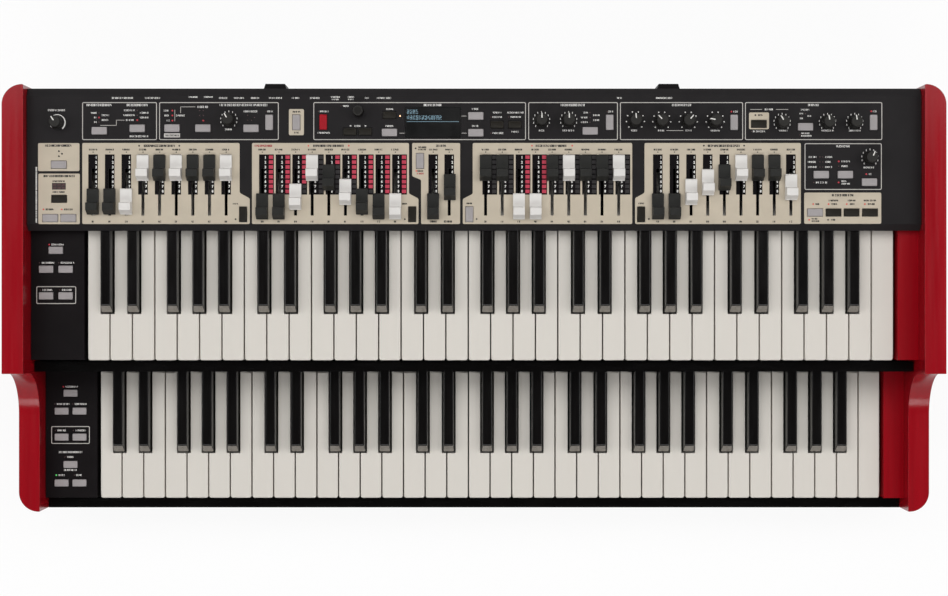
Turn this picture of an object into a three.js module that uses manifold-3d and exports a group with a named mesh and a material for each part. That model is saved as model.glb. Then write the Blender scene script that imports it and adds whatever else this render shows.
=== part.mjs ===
// A dual-manual organ: two 61-key manuals in stepped wooden cheeks, under a sloping-edged
// control panel with drawbars, knobs and push buttons.
// Millimetres, +Z up. X runs along the keys from bass to treble, and the player sits at -Y.
// The origin is on the ground, under the middle of the organ's bounding box.
import * as THREE from "three";
import { mergeVertices } from "three/addons/utils/BufferGeometryUtils.js";
import Module from "manifold-3d";

const wasm = await Module();
wasm.setup();

// Driving dimensions of the keyboards
const octaves = 5;
const whitesPerOctave = 7;
const whitePitch = 23.525;
const keyGap = 1;
const whiteBodyHeight = 22;
const whiteNoseRadius = 3;
const visibleKeyLength = 134.9;
const hiddenKeyLength = 59.1;
const whiteTailDrop = 4;
const blackSetback = 49.7;
const blackBaseWidth = 12.7;
const blackTopWidth = 10.2;
const blackHeight = 12;
const blackNoseRun = 8.4;
const blackBodyHeight = 15;
const blackTailDrop = 6;
const blackBodyClearance = 0.9;
const blackLap = 4;
const pivotSpacing = 12;
const pivotWebLength = 8;
const whiteWebHeight = 6;
const blackWebHeight = 10;
const pivotRailWidth = 4;
const underKeySpace = 16;
const keybedThickness = 4;
const manualClearance = 8;
const manualSetback = 151.6;

// Driving dimensions of the case
const fitGap = 0.3;
const footHeight = 8;
const footRadius = 10;
const footInset = 42;
const sheetThickness = 1.5;
const keybedLegHeight = 23.6;
const keybedLegThickness = 3;
const cheekThickness = 22.2;
const cheekGroundGap = 5;
const cheekCornerRadius = 21;
const cheekTopProud = 14;
const cheekRearProud = 2.6;
const lowerCheekRise = 29.5;
const sweepHeight = 35;
const sweepControlHeight = 11;
const sweepControlReach = 6;
const sweepReach = 47;
const cheekEdge = 2;
const slipThickness = 10.2;
const slipDrop = 12;
const slipFlange = 3.7;
const slipFlangeDepth = 20;
const slipGap = 1.5;
const upperSlipThickness = 10.8;
const cheekFrontProud = 0.6;
const leftBlockWidth = 56.2;
const leftBlockGap = 2.7;
const leftBlockRise = 3;
const blockFrontStep = 0.6;
const blockShell = 2.5;
const blockLap = 12;
const rightBlockWidth = 21.5;
const rightBlockGap = 2.5;
const rightBlockRise = 7;
const chassisGap = 8;

// Driving dimensions of the control panel
const panelGap = 0.7;
const panelDepth = 147.9;
const panelThickness = 3;
const panelLipRun = 6.7;
const panelLipDrop = 4;
const panelKeyGap = 3;
const panelRearRun = 8;
const panelRearDrop = 5;
const buttonLong = 15.8;
const buttonShort = 7.8;
const smallButtonLong = 13.5;
const smallButtonShort = 7.4;
const blockButtonLong = 15;
const blockButtonShort = 7.5;
const buttonProud = 1.3;
const holeClearance = 0.35;
const padThickness = 2;
const padDrop = 2.4;
const knobRadius = 7.2;
const knobHeight = 13;
const knobWaist = 0.5;
const knobShaftRadius = 3;
const pointerWidth = 1.3;
const pointerHeight = 0.5;
const dialRadius = 5.7;
const dialHeight = 12.8;
const barCapWidth = 12.9;
const barCapLength = 27;
const barLipHeight = 3.2;
const barLipRun = 0.6;
const barCrestHeight = 13.8;
const barCrestFront = 6.4;
const barCrestRear = 12.8;
const barPlateHeight = 3.6;
const barPlateFront = 14.2;
const barTailRun = 1.2;
const barTailHeight = 2.6;
const barStep = 5;
const barSteps = 8;
const stemWidth = 2;
const stemLength = 8;
const stemSetback = 4.6;
const yokeHeight = 3;
const yokeSpacing = 4;
const yokeDrop = 2;
const yokeEndMargin = 0.5;
const slotClearance = 0.4;
const capRideGap = 0.3;
const displayThickness = 3;
const boardThickness = 1.6;
const boardDepth = 66;
const boardDrop = 11;
const boardPostWidth = 6;
const boardSideInset = 24;
const boardRearInset = 10;

// Driving dimensions of the rear
const bracketWidth = 24.2;
const bracketTopWidth = 20.3;
const bracketReach = 3.4;
const bracketHeight = 38;
const bracketDrop = 6;
const supplyWidth = 130;
const supplyDepthShare = 0.8;
const supplyHeight = 48;
const supplyInset = 60;
const inletPlateWidth = 80;
const inletPlateHeight = 40;
const inletMouthWidth = 22;
const inletMouthHeight = 15;
const inletRise = 2;
const inletDepth = 14;

// An overrun that lets a cut pass cleanly through a face
const overrun = 1;

// Widths along X, from the left cheek to the right one
const whiteCount = octaves * whitesPerOctave + 1;
const keyboardWidth = whiteCount * whitePitch;
const innerWidth =
  leftBlockWidth + leftBlockGap + keyboardWidth + rightBlockGap + rightBlockWidth;
const innerLeft = -innerWidth / 2;
const innerRight = innerWidth / 2;
const outerLeft = innerLeft - cheekThickness;
const outerRight = innerRight + cheekThickness;
const keysLeft = innerLeft + leftBlockWidth + leftBlockGap;
const keysRight = keysLeft + keyboardWidth;

// Depths along Y, from the player's side to the rear
const lowerKeysFront = slipThickness + slipGap;
const upperKeysFront = lowerKeysFront + manualSetback;
const panelFront = upperKeysFront + visibleKeyLength + panelGap;
const panelRear = panelFront + panelDepth;
const cheekDepth = panelRear + cheekRearProud;
const overallDepth = cheekDepth + bracketReach;
const frontY = -overallDepth / 2;
const upperSlipFront = upperKeysFront - slipGap - upperSlipThickness;
const upperCheekFront = upperSlipFront - cheekFrontProud;
const sweepEnd = upperCheekFront - sweepReach;

// Heights along Z, from the ground
const panBottom = footHeight + fitGap;
const panTop = panBottom + sheetThickness;
const lowerKeybedTop = panTop + fitGap + keybedLegHeight + keybedThickness;
const lowerWhiteTop = lowerKeybedTop + underKeySpace + whiteBodyHeight;
const keybedReach = keybedThickness + underKeySpace + whiteBodyHeight;
const manualRise = blackHeight + manualClearance + slipFlange + fitGap + keybedReach;
const upperWhiteTop = lowerWhiteTop + manualRise;
const upperKeybedTop = upperWhiteTop - whiteBodyHeight - underKeySpace;
const upperKeybedBottom = upperKeybedTop - keybedThickness;
const panelLipBottom = upperWhiteTop + blackHeight + panelKeyGap;
const panelUnderside = panelLipBottom + panelLipDrop;
const panelTop = panelUnderside + panelThickness;
const cheekTop = panelTop + cheekTopProud;
const lowerCheekTop = lowerWhiteTop + lowerCheekRise;

// Lengths of a key, from its front edge to its pivot
const whitePivot = visibleKeyLength + hiddenKeyLength;
const blackPivot = whitePivot + pivotSpacing;
const pivotRailRear = blackPivot + pivotRailWidth / 2;
const blackRaisedEnd = visibleKeyLength + panelGap + blackLap;

// Centres of the five black keys, in white pitches from the left edge of their octave
const blackCentreShares = [0.9, 2.09, 3.86, 5, 6.15];

// Places on the control panel: share of its width from the middle, share of its depth
// from the front edge
const wideButtonShares = [
  [-0.4184, 0.7],
  [-0.376, 0.717],
  [-0.3372, 0.718],
  [-0.3027, 0.718],
  [-0.249, 0.717],
  [-0.0944, 0.688],
  [0.002, 0.804],
  [0.002, 0.686],
  [0.1297, 0.699],
  [0.3181, 0.748],
  [0.3701, 0.728],
  [0.3877, 0.392],
  [0.4146, 0.392],
  [0.4415, 0.339],
  [0.3808, 0.126],
  [0.4015, 0.126],
  [0.4216, 0.126],
  [0.4422, 0.126],
  [-0.4636, 0.462],
  [-0.4632, 0.222],
  [-0.4732, 0.087],
  [-0.4529, 0.087],
];
const smallButtonShares = [
  [-0.1386, 0.694],
  [-0.1214, 0.694],
  [-0.0944, 0.81],
  [0.0258, 0.743],
  [0.0456, 0.743],
];
const uprightButtonShares = [
  [-0.2287, 0.759],
  [-0.1984, 0.759],
  [-0.1684, 0.761],
  [0.1515, 0.759],
  [0.2904, 0.759],
  [0.4461, 0.759],
  [-0.2578, 0.113],
  [-0.069, 0.114],
  [-0.0052, 0.114],
  [0.1866, 0.113],
  [-0.0603, 0.488],
];

// Strips of the panel's button pad: left, right, front and rear, as shares of the panel
const padStripShares = [
  [-0.4285, 0.4575, 0.64, 0.85],
  [-0.4835, -0.4425, 0.052, 0.7],
  [-0.4835, -0.42, 0.64, 0.7],
  [-0.2638, -0.2518, 0.06, 0.7],
  [-0.0755, -0.0545, 0.06, 0.7],
  [-0.0112, 0.0008, 0.06, 0.7],
  [0.1806, 0.1926, 0.06, 0.7],
  [0.3708, 0.4525, 0.08, 0.7],
];

// Columns of the posts under the panel, as shares of half the control board's width
const boardPostShares = [-0.9, -0.3, 0.3, 0.98];

// Knobs: place on the panel as above, and the pointer's turn from straight back, in degrees
const knobs = [
  { name: "master_volume_knob", placeShares: [-0.4656, 0.759], turn: 35 },
  { name: "drive_knob", placeShares: [-0.2738, 0.778], turn: 30 },
  { name: "rate_knob", placeShares: [0.0754, 0.774], turn: 0 },
  { name: "amount_knob", placeShares: [0.1057, 0.774], turn: 0 },
  { name: "bass_knob", placeShares: [0.1802, 0.772], turn: 5 },
  { name: "mid_frequency_knob", placeShares: [0.2096, 0.77], turn: 45 },
  { name: "mid_gain_knob", placeShares: [0.2393, 0.77], turn: -40 },
  { name: "treble_knob", placeShares: [0.2693, 0.77], turn: 80 },
  { name: "delay_mix_knob", placeShares: [0.3441, 0.761], turn: 30 },
  { name: "delay_feedback_knob", placeShares: [0.3948, 0.761], turn: 10 },
  { name: "delay_time_knob", placeShares: [0.4252, 0.761], turn: 10 },
  { name: "reverb_knob", placeShares: [0.4422, 0.511], turn: -25 },
];
const dialShares = [-0.129, 0.834];
const displayShares = [-0.077, -0.0149, 0.652, 0.865];

// Drawbars: the first bar's centre as a share of the panel's width, then each linked
// group's bars with how many steps each is pulled out, and how deep its yoke lies
const barPitchShare = 0.01857;
const barRestShare = 0.348;
const barSets = [
  {
    name: "upper_a",
    firstShare: -0.4253,
    groups: [
      { bars: [1, 2, 3], pulled: [7, 7, 7], level: 0 },
      { bars: [4, 5, 6, 7, 8, 9], pulled: [0, 0, 0, 0, 0, 0], level: 0 },
    ],
  },
  {
    name: "upper_b",
    firstShare: -0.2364,
    groups: [
      { bars: [1, 2, 7, 8, 9], pulled: [8, 8, 7, 8, 8], level: 2 },
      { bars: [3, 6], pulled: [6, 5], level: 1 },
      { bars: [4, 5], pulled: [0, 2], level: 0 },
    ],
  },
  {
    name: "pedal_16",
    firstShare: -0.0456,
    groups: [{ bars: [1], pulled: [8], level: 0 }],
  },
  {
    name: "pedal_8",
    firstShare: -0.0456,
    groups: [{ bars: [2], pulled: [4], level: 0 }],
  },
  {
    name: "lower_a",
    firstShare: 0.013,
    groups: [
      { bars: [1, 2, 5, 6, 7, 8, 9], pulled: [0, 0, 0, 0, 0, 0, 0], level: 1 },
      { bars: [3, 4], pulled: [8, 8], level: 0 },
    ],
  },
  {
    name: "lower_b",
    firstShare: 0.2052,
    groups: [
      { bars: [1, 2], pulled: [8, 8], level: 0 },
      { bars: [3, 4, 5, 9], pulled: [5, 3, 2, 4], level: 1 },
      { bars: [6, 7, 8], pulled: [0, 0, 0], level: 0 },
    ],
  },
];

// Buttons on the left blocks: share of the block's width, share of its visible depth
const upperBlockButtonShares = [
  [0.464, 0.856],
  [0.284, 0.708],
  [0.648, 0.708],
  [0.284, 0.5],
  [0.648, 0.5],
];
const lowerBlockButtonShares = [
  [0.481, 0.844],
  [0.31, 0.699],
  [0.655, 0.699],
  [0.31, 0.489],
  [0.655, 0.489],
  [0.481, 0.268],
  [0.31, 0.119],
  [0.655, 0.119],
];

// Finishes
const finish = (color, roughness, metalness = 0) =>
  new THREE.MeshStandardMaterial({ color, roughness, metalness, flatShading: true });
const redLacquer = () => finish(0xa01a26, 0.3);
const blackPanelPaint = () => finish(0x2a292a, 0.45, 0.2);
const blackPlastic = () => finish(0x141314, 0.5);
const whiteKeyPlastic = () => finish(0xdad6cf, 0.3);
const blackKeyPlastic = () => finish(0x0c0b0c, 0.2);
const whiteCapPlastic = () => finish(0xe2dedb, 0.4);
const greyButtonPlastic = () => finish(0x9d9898, 0.6);
const zincSheet = () => finish(0x8c9094, 0.4, 0.8);
const boardGreen = () => finish(0x1f5a34, 0.6);
const windowGlass = () => finish(0x101216, 0.1);
const footRubber = () => finish(0x101010, 0.9);

// Geometry as a manifold solid, with its shared corners merged
function solidOf(geometry) {
  const bare = geometry.index ? geometry.toNonIndexed() : geometry.clone();
  bare.deleteAttribute("normal");
  bare.deleteAttribute("uv");
  const merged = mergeVertices(bare);
  return new wasm.Manifold(
    new wasm.Mesh({
      numProp: 3,
      vertProperties: new Float32Array(merged.attributes.position.array),
      triVerts: new Uint32Array(merged.index.array),
    }),
  );
}

// A solid back as geometry for a mesh
function geometryOf(solid) {
  const data = solid.getMesh();
  const geometry = new THREE.BufferGeometry();
  geometry.setAttribute("position", new THREE.BufferAttribute(data.vertProperties, 3));
  geometry.setIndex(new THREE.BufferAttribute(data.triVerts, 1));
  geometry.computeVertexNormals();
  return geometry;
}

const joined = (solids) => solids.reduce((whole, next) => whole.add(next));
const cutBy = (solid, tools) => solid.subtract(joined(tools));

// A box from its limits along each axis, with each corner exactly on them, so that boxes
// which share a limit join without slivers
function block(...limits) {
  const geometry = new THREE.BoxGeometry(1, 1, 1);
  const corners = geometry.attributes.position;
  for (let at = 0; at < corners.count; at += 1)
    limits.forEach(([low, high], axis) => {
      corners.setComponent(at, axis, corners.getComponent(at, axis) < 0 ? low : high);
    });
  return solidOf(geometry);
}

const shapeOf = (points) => new THREE.Shape(points.map(([u, v]) => new THREE.Vector2(u, v)));

// A plan outline raised between two heights
function prismUp(points, z0, z1) {
  const settings = { depth: z1 - z0, bevelEnabled: false };
  const geometry = new THREE.ExtrudeGeometry(shapeOf(points), settings);
  geometry.translate(0, 0, z0);
  return solidOf(geometry);
}

// A side outline, in depth and height, swept along X
function prismAcross(points, x0, x1) {
  const settings = { depth: x1 - x0, bevelEnabled: false };
  const geometry = new THREE.ExtrudeGeometry(shapeOf(points), settings);
  const alongX = new THREE.Vector3(1, 0, 0);
  const alongY = new THREE.Vector3(0, 1, 0);
  const alongZ = new THREE.Vector3(0, 0, 1);
  geometry.applyMatrix4(new THREE.Matrix4().makeBasis(alongY, alongZ, alongX));
  geometry.translate(x0, 0, 0);
  return solidOf(geometry);
}

// An upright cylinder with flat sides
function post(radius, z0, z1, sides) {
  const geometry = new THREE.CylinderGeometry(radius, radius, z1 - z0, sides);
  geometry.rotateX(Math.PI / 2);
  geometry.translate(0, 0, (z0 + z1) / 2);
  return solidOf(geometry);
}

const organ = new THREE.Group();

// Names a solid as one sub-part of a group, placed in that group's own frame
function addPart(group, name, solid, material, x = 0, y = 0, z = 0) {
  const mesh = new THREE.Mesh(geometryOf(solid), material);
  mesh.name = name;
  mesh.position.set(x, y, z);
  group.add(mesh);
  return mesh;
}

// Points of an arc about a centre, from one angle to another
function arc(centreU, centreV, radius, from, to, steps) {
  const turn = (step) => from + ((to - from) * step) / steps;
  return Array.from({ length: steps + 1 }, (_, step) => [
    centreU + radius * Math.cos(turn(step)),
    centreV + radius * Math.sin(turn(step)),
  ]);
}

// Cheeks: a side outline cut to a plan whose outer corners are round
function sweepPoints() {
  const steps = 8;
  const curve = new THREE.QuadraticBezierCurve(
    new THREE.Vector2(upperCheekFront, lowerCheekTop + sweepHeight),
    new THREE.Vector2(upperCheekFront - sweepControlReach, lowerCheekTop + sweepControlHeight),
    new THREE.Vector2(sweepEnd, lowerCheekTop),
  );
  return curve.getPoints(steps).map((point) => [point.x, point.y]);
}

function cheekSolid(inner, outer) {
  const side = Math.sign(outer - inner);
  const profile = [
    [0, cheekGroundGap],
    [cheekDepth, cheekGroundGap],
    [cheekDepth, cheekTop - cheekEdge],
    [cheekDepth - cheekEdge, cheekTop],
    [upperCheekFront + cheekEdge, cheekTop],
    [upperCheekFront, cheekTop - cheekEdge],
    ...sweepPoints(),
    [cheekEdge, lowerCheekTop],
    [0, lowerCheekTop - cheekEdge],
  ];
  const left = Math.min(inner, outer);
  const right = Math.max(inner, outer);
  const board = prismAcross(profile, left - overrun, right + overrun);
  const cornerX = outer - side * cheekCornerRadius;
  const steps = 7;
  const quarter = Math.PI / 2;
  const frontCorner = arc(0, 0, cheekCornerRadius, -quarter, 0, steps);
  const rearCorner = arc(0, 0, cheekCornerRadius, 0, quarter, steps);
  const plan = [
    [inner, 0],
    ...frontCorner.map(([u, v]) => [cornerX + side * u, cheekCornerRadius + v]),
    ...rearCorner.map(([u, v]) => [cornerX + side * u, cheekDepth - cheekCornerRadius + v]),
    [inner, cheekDepth],
  ];
  if (side < 0) plan.reverse();
  return board.intersect(prismUp(plan, 0, cheekTop + overrun));
}

// The red step beside the treble end of a keyboard, part of the right cheek
function rightStep(keysFront, whiteTop, keybedTop) {
  const front = keysFront + blockFrontStep;
  return block(
    [keysRight + rightBlockGap, innerRight + overrun],
    [front, keysFront + visibleKeyLength + blockLap],
    [keybedTop + fitGap, whiteTop + rightBlockRise],
  );
}

function addCheeks(group) {
  addPart(group, "left_cheek", cheekSolid(innerLeft, outerLeft), redLacquer());
  const rightCheek = joined([
    cheekSolid(innerRight, outerRight),
    rightStep(lowerKeysFront, lowerWhiteTop, lowerKeybedTop),
    rightStep(upperKeysFront, upperWhiteTop, upperKeybedTop),
  ]);
  addPart(group, "right_cheek", rightCheek, redLacquer());
}

// Widths between the cheeks, with a gap to each
const bayLeft = innerLeft + fitGap;
const bayRight = innerRight - fitGap;
const bay = [bayLeft, bayRight];

// The base pan: floor and rear wall in one folded sheet, with the inlet's cut-out
const rearWallOuter = panelRear - fitGap;
const rearWallInner = rearWallOuter - sheetThickness;
const inletCentre = innerRight - supplyInset - supplyWidth / 2;
const inletLimits = [inletCentre - inletPlateWidth / 2, inletCentre + inletPlateWidth / 2];
const inletBottom = panTop + fitGap + inletRise;

function addBasePan(group) {
  const rearWallTop = panelTop - panelRearDrop - panelThickness - fitGap;
  const floor = block(bay, [slipThickness + fitGap, rearWallOuter], [panBottom, panTop]);
  const rear = block(bay, [rearWallInner, rearWallOuter], [panBottom, rearWallTop]);
  const inletCut = block(
    [inletLimits[0] - fitGap, inletLimits[1] + fitGap],
    [rearWallInner - overrun, rearWallOuter + overrun],
    [inletBottom - fitGap, inletBottom + inletPlateHeight + fitGap],
  );
  addPart(group, "base_pan", cutBy(joined([floor, rear]), [inletCut]), zincSheet());
}

function addFeet(group) {
  const sides = 16;
  const places = [
    ["left_front", outerLeft + footInset, footInset],
    ["right_front", outerRight - footInset, footInset],
    ["left_rear", outerLeft + footInset, cheekDepth - footInset],
    ["right_rear", outerRight - footInset, cheekDepth - footInset],
  ];
  for (const [corner, x, y] of places)
    addPart(group, corner + "_foot", post(footRadius, 0, footHeight, sides), footRubber(), x, y);
}

// The chassis: a bridge over the rear of the lower keys that carries the upper key bed
const chassisFront = lowerKeysFront + pivotRailRear + chassisGap;
const chassisRear = upperKeysFront + pivotRailRear + sheetThickness;
const chassisTop = upperKeybedBottom - fitGap;

function addChassis(group) {
  const foot = panTop + fitGap;
  const deck = block(bay, [chassisFront, chassisRear], [chassisTop - sheetThickness, chassisTop]);
  const frontWall = block(bay, [chassisFront, chassisFront + sheetThickness], [foot, chassisTop]);
  const rearWall = block(bay, [chassisRear - sheetThickness, chassisRear], [foot, chassisTop]);
  addPart(group, "upper_chassis", joined([deck, frontWall, rearWall]), zincSheet());
}

// Key slips: the rails in front of the keys
function addSlips(group) {
  const lowerTop = lowerWhiteTop - slipDrop;
  const lower = block(bay, [0, slipThickness], [panBottom, lowerTop]);
  addPart(group, "lower_key_slip", lower, blackPlastic());
  const upperBottom = upperKeybedBottom - fitGap - slipFlange;
  const upperRear = upperSlipFront + upperSlipThickness;
  const board = block(bay, [upperSlipFront, upperRear], [upperBottom, upperWhiteTop - slipDrop]);
  const flange = block(
    bay,
    [upperSlipFront, upperSlipFront + upperSlipThickness + slipFlangeDepth],
    [upperBottom, upperBottom + slipFlange],
  );
  addPart(group, "upper_key_slip", joined([board, flange]), blackPlastic());
}

// A left block: an open-bottomed shell with a hole for each of its buttons
const blockLimits = [bayLeft, innerLeft + leftBlockWidth];

function blockButtonPlaces(shares, keysFront) {
  const front = keysFront + blockFrontStep;
  return shares.map(([across, deep]) => [
    blockLimits[0] + across * leftBlockWidth,
    front + deep * (visibleKeyLength - blockFrontStep),
  ]);
}

function buttonLimits([x, y], width, depth, margin) {
  return [
    [x - width / 2 - margin, x + width / 2 + margin],
    [y - depth / 2 - margin, y + depth / 2 + margin],
  ];
}

function addLeftBlock(group, name, shares, keysFront, whiteTop, keybedTop) {
  const top = whiteTop + leftBlockRise;
  const front = keysFront + blockFrontStep;
  const rear = keysFront + visibleKeyLength + blockLap;
  const shell = block(blockLimits, [front, rear], [keybedTop + fitGap, top]);
  const hollow = block(
    [blockLimits[0] + blockShell, blockLimits[1] - blockShell],
    [front + blockShell, rear - blockShell],
    [keybedTop - overrun, top - blockShell],
  );
  const places = blockButtonPlaces(shares, keysFront);
  const holes = places.map((place) => {
    const limits = buttonLimits(place, blockButtonLong, blockButtonShort, holeClearance);
    return block(...limits, [top - blockShell - overrun, top + overrun]);
  });
  addPart(group, name + "_left_block", cutBy(shell, [hollow, ...holes]), blackPlastic());

  const padTop = top - blockShell - padDrop;
  const margin = blockShell + padDrop;
  const web = block(
    [blockLimits[0] + margin, blockLimits[1] - margin],
    [front + margin, rear - margin],
    [padTop - padThickness, padTop],
  );
  const caps = places.map((place) => {
    const limits = buttonLimits(place, blockButtonLong, blockButtonShort, 0);
    return block(...limits, [padTop - padThickness, top + buttonProud]);
  });
  addPart(group, name + "_block_buttons", joined([web, ...caps]), greyButtonPlastic());
}

// Plan of one white key: full width in front, notched behind for its black neighbours
function whiteKeySolid(index, blacks, isLast) {
  const left = index * whitePitch + keyGap / 2;
  const right = (index + 1) * whitePitch - keyGap / 2;
  const half = blackBaseWidth / 2 + blackBodyClearance;
  const notch = blackSetback - blackBodyClearance;
  const tail = whitePivot + pivotWebLength / 2;
  let tailLeft = left;
  let tailRight = right;
  for (const centre of blacks) {
    if (centre - half < right && centre > (left + right) / 2)
      tailRight = Math.min(tailRight, centre - half);
    if (centre + half > left && centre < (left + right) / 2)
      tailLeft = Math.max(tailLeft, centre + half);
  }
  if (isLast) tailRight = right;
  const outline = [
    [left, 0],
    [right, 0],
    [right, notch],
    [tailRight, notch],
    [tailRight, tail],
    [tailLeft, tail],
    [tailLeft, notch],
    [left, notch],
  ];
  const corners = outline.filter(([u, v], at) => {
    const [pu, pv] = outline[(at + outline.length - 1) % outline.length];
    return Math.hypot(u - pu, v - pv) > 0;
  });
  return prismUp(corners, -whiteBodyHeight, 0);
}

// Side outline shared by all white keys: round nose, and a lower tail behind the panel edge
function whiteSideProfile() {
  const steps = 3;
  const lapStart = visibleKeyLength + panelGap;
  const tailEnd = whitePivot + pivotWebLength / 2 + overrun;
  const quarter = Math.PI / 2;
  const nose = arc(whiteNoseRadius, -whiteNoseRadius, whiteNoseRadius, quarter, 2 * quarter, steps);
  return [
    [0, -whiteBodyHeight - overrun],
    [tailEnd, -whiteBodyHeight - overrun],
    [tailEnd, -whiteTailDrop],
    [lapStart + whiteTailDrop, -whiteTailDrop],
    [lapStart, 0],
    ...nose,
  ];
}

function whiteSetSolid(octave) {
  const isLast = octave === octaves - 1;
  const count = isLast ? whitesPerOctave + 1 : whitesPerOctave;
  const blacks = blackCentreShares.map((share) => share * whitePitch);
  const keys = Array.from({ length: count }, (_, index) =>
    whiteKeySolid(index, blacks, isLast && index === whitesPerOctave),
  );
  const width = count * whitePitch;
  const profile = prismAcross(whiteSideProfile(), -overrun, width + overrun);
  const webTop = -whiteBodyHeight + whiteWebHeight / 3;
  const web = block(
    [keyGap / 2, width - keyGap / 2],
    [whitePivot - pivotWebLength / 2, whitePivot + pivotWebLength / 2],
    [webTop - whiteWebHeight, webTop],
  );
  return joined(keys).intersect(profile).add(web);
}

// One black key: a tapered cap with a sloping front over a narrow body that reaches its pivot
function blackKeySolid(centre) {
  const baseHalf = blackBaseWidth / 2;
  const topHalf = blackTopWidth / 2;
  const facet = new THREE.BufferGeometry();
  const front = blackSetback;
  const corners = [
    [centre - baseHalf, front, 0],
    [centre + baseHalf, front, 0],
    [centre + baseHalf, blackRaisedEnd, 0],
    [centre - baseHalf, blackRaisedEnd, 0],
    [centre - topHalf, front + blackNoseRun, blackHeight],
    [centre + topHalf, front + blackNoseRun, blackHeight],
    [centre + topHalf, blackRaisedEnd, blackHeight],
    [centre - topHalf, blackRaisedEnd, blackHeight],
  ];
  const quads = [
    [3, 2, 1, 0],
    [4, 5, 6, 7],
    [0, 1, 5, 4],
    [1, 2, 6, 5],
    [2, 3, 7, 6],
    [3, 0, 4, 7],
  ];
  facet.setAttribute("position", new THREE.BufferAttribute(new Float32Array(corners.flat()), 3));
  facet.setIndex(quads.flatMap(([a, b, c, d]) => [a, b, c, a, c, d]));
  const body = block(
    [centre - baseHalf, centre + baseHalf],
    [front, blackRaisedEnd],
    [-blackBodyHeight, 0],
  );
  const tail = block(
    [centre - baseHalf, centre + baseHalf],
    [blackRaisedEnd - overrun, blackPivot],
    [-blackBodyHeight, -blackTailDrop],
  );
  return joined([solidOf(facet), body, tail]);
}

function blackSetSolid() {
  const keys = [];
  for (let octave = 0; octave < octaves; octave += 1)
    for (const share of blackCentreShares)
      keys.push(blackKeySolid((octave * whitesPerOctave + share) * whitePitch));
  const web = block(
    [whitePitch / 2, keyboardWidth - whitePitch / 2],
    [blackPivot - pivotWebLength / 2, blackPivot + pivotWebLength / 2],
    [-blackBodyHeight, -blackBodyHeight + blackWebHeight],
  );
  return joined([...keys, web]);
}

// A key bed: a plate under the keys with the two pivot rails, in the manual's own frame
function keybedSolids(front) {
  const top = -whiteBodyHeight - underKeySpace;
  const rear = pivotRailRear;
  const whiteRailTop = -whiteBodyHeight + whiteWebHeight / 3 - whiteWebHeight - fitGap;
  const rail = (pivot) => [pivot - pivotRailWidth / 2, pivot + pivotRailWidth / 2];
  const across = [bayLeft - keysLeft, bayRight - keysLeft];
  const keysAcross = [keyGap, keyboardWidth - keyGap];
  return [
    block(across, [front, rear], [top - keybedThickness, top]),
    block(keysAcross, rail(whitePivot), [top - overrun, whiteRailTop]),
    block(keysAcross, rail(blackPivot), [top - overrun, -blackBodyHeight - fitGap]),
  ];
}

// One manual, in a group whose origin is the front left top corner of its lowest key
function addManual(name, keysFront, whiteTop, keybedFront, withLegs) {
  const manual = new THREE.Group();
  manual.position.set(keysLeft, keysFront, whiteTop);
  for (let octave = 0; octave < octaves; octave += 1) {
    const x = octave * whitesPerOctave * whitePitch;
    const title = name + "_white_keys_" + (octave + 1);
    addPart(manual, title, whiteSetSolid(octave), whiteKeyPlastic(), x);
  }
  addPart(manual, name + "_black_keys", blackSetSolid(), blackKeyPlastic());
  const bed = keybedSolids(keybedFront);
  if (withLegs) {
    const top = -whiteBodyHeight - underKeySpace;
    const legs = [top - keybedThickness - keybedLegHeight, top - overrun];
    const across = [bayLeft - keysLeft, bayRight - keysLeft];
    bed.push(block(across, [keybedFront, keybedFront + keybedLegThickness], legs));
    bed.push(block(across, [pivotRailRear - keybedLegThickness, pivotRailRear], legs));
  }
  addPart(manual, name + "_keybed", joined(bed), zincSheet());
  return manual;
}

// The control panel, in a group whose origin is the middle of its front edge on its top face
const panel = new THREE.Group();
panel.position.set(0, panelFront, panelTop);
const panelPlace = ([across, deep]) => [across * innerWidth, deep * panelDepth];

function panelSideProfile() {
  return [
    [panelLipRun, -panelThickness],
    [panelLipRun, -panelThickness - panelLipDrop],
    [0, -panelThickness - panelLipDrop],
    [panelLipRun, 0],
    [panelDepth - panelRearRun, 0],
    [panelDepth, -panelRearDrop],
    [panelDepth, -panelRearDrop - panelThickness],
    [panelDepth - panelRearRun, -panelThickness],
  ];
}

const barPitch = barPitchShare * innerWidth;
const barCentre = (set, bar) => set.firstShare * innerWidth + (bar - 1) * barPitch;
const barRestFront = barRestShare * panelDepth;
const stemFrontAt = (pulled) => barRestFront + stemSetback - pulled * barStep;
const buttonKinds = [
  { shares: wideButtonShares, width: buttonLong, depth: buttonShort },
  { shares: smallButtonShares, width: smallButtonLong, depth: smallButtonShort },
  { shares: uprightButtonShares, width: buttonShort, depth: buttonLong },
];

function panelHoles() {
  const through = [-panelThickness - overrun, overrun];
  const holes = [];
  for (const { shares, width, depth } of buttonKinds)
    for (const place of shares)
      holes.push(block(...buttonLimits(panelPlace(place), width, depth, holeClearance), through));
  const sides = 8;
  for (const place of [...knobs.map((knob) => knob.placeShares), dialShares]) {
    const [x, y] = panelPlace(place);
    const hole = post(knobShaftRadius + slotClearance, ...through, sides);
    holes.push(hole.translate([x, y, 0]));
  }
  const slotDepth = [
    stemFrontAt(barSteps) - slotClearance,
    stemFrontAt(0) + stemLength + slotClearance,
  ];
  const slotHalf = stemWidth / 2 + slotClearance;
  for (const set of barSets)
    for (const bar of set.groups.flatMap((group) => group.bars)) {
      const x = barCentre(set, bar);
      holes.push(block([x - slotHalf, x + slotHalf], slotDepth, through));
    }
  holes.push(block(...displayLimits(holeClearance), through));
  return holes;
}

function displayLimits(margin) {
  const [left, right, front, rear] = displayShares;
  return [
    [left * innerWidth - margin, right * innerWidth + margin],
    [front * panelDepth - margin, rear * panelDepth + margin],
  ];
}

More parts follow.
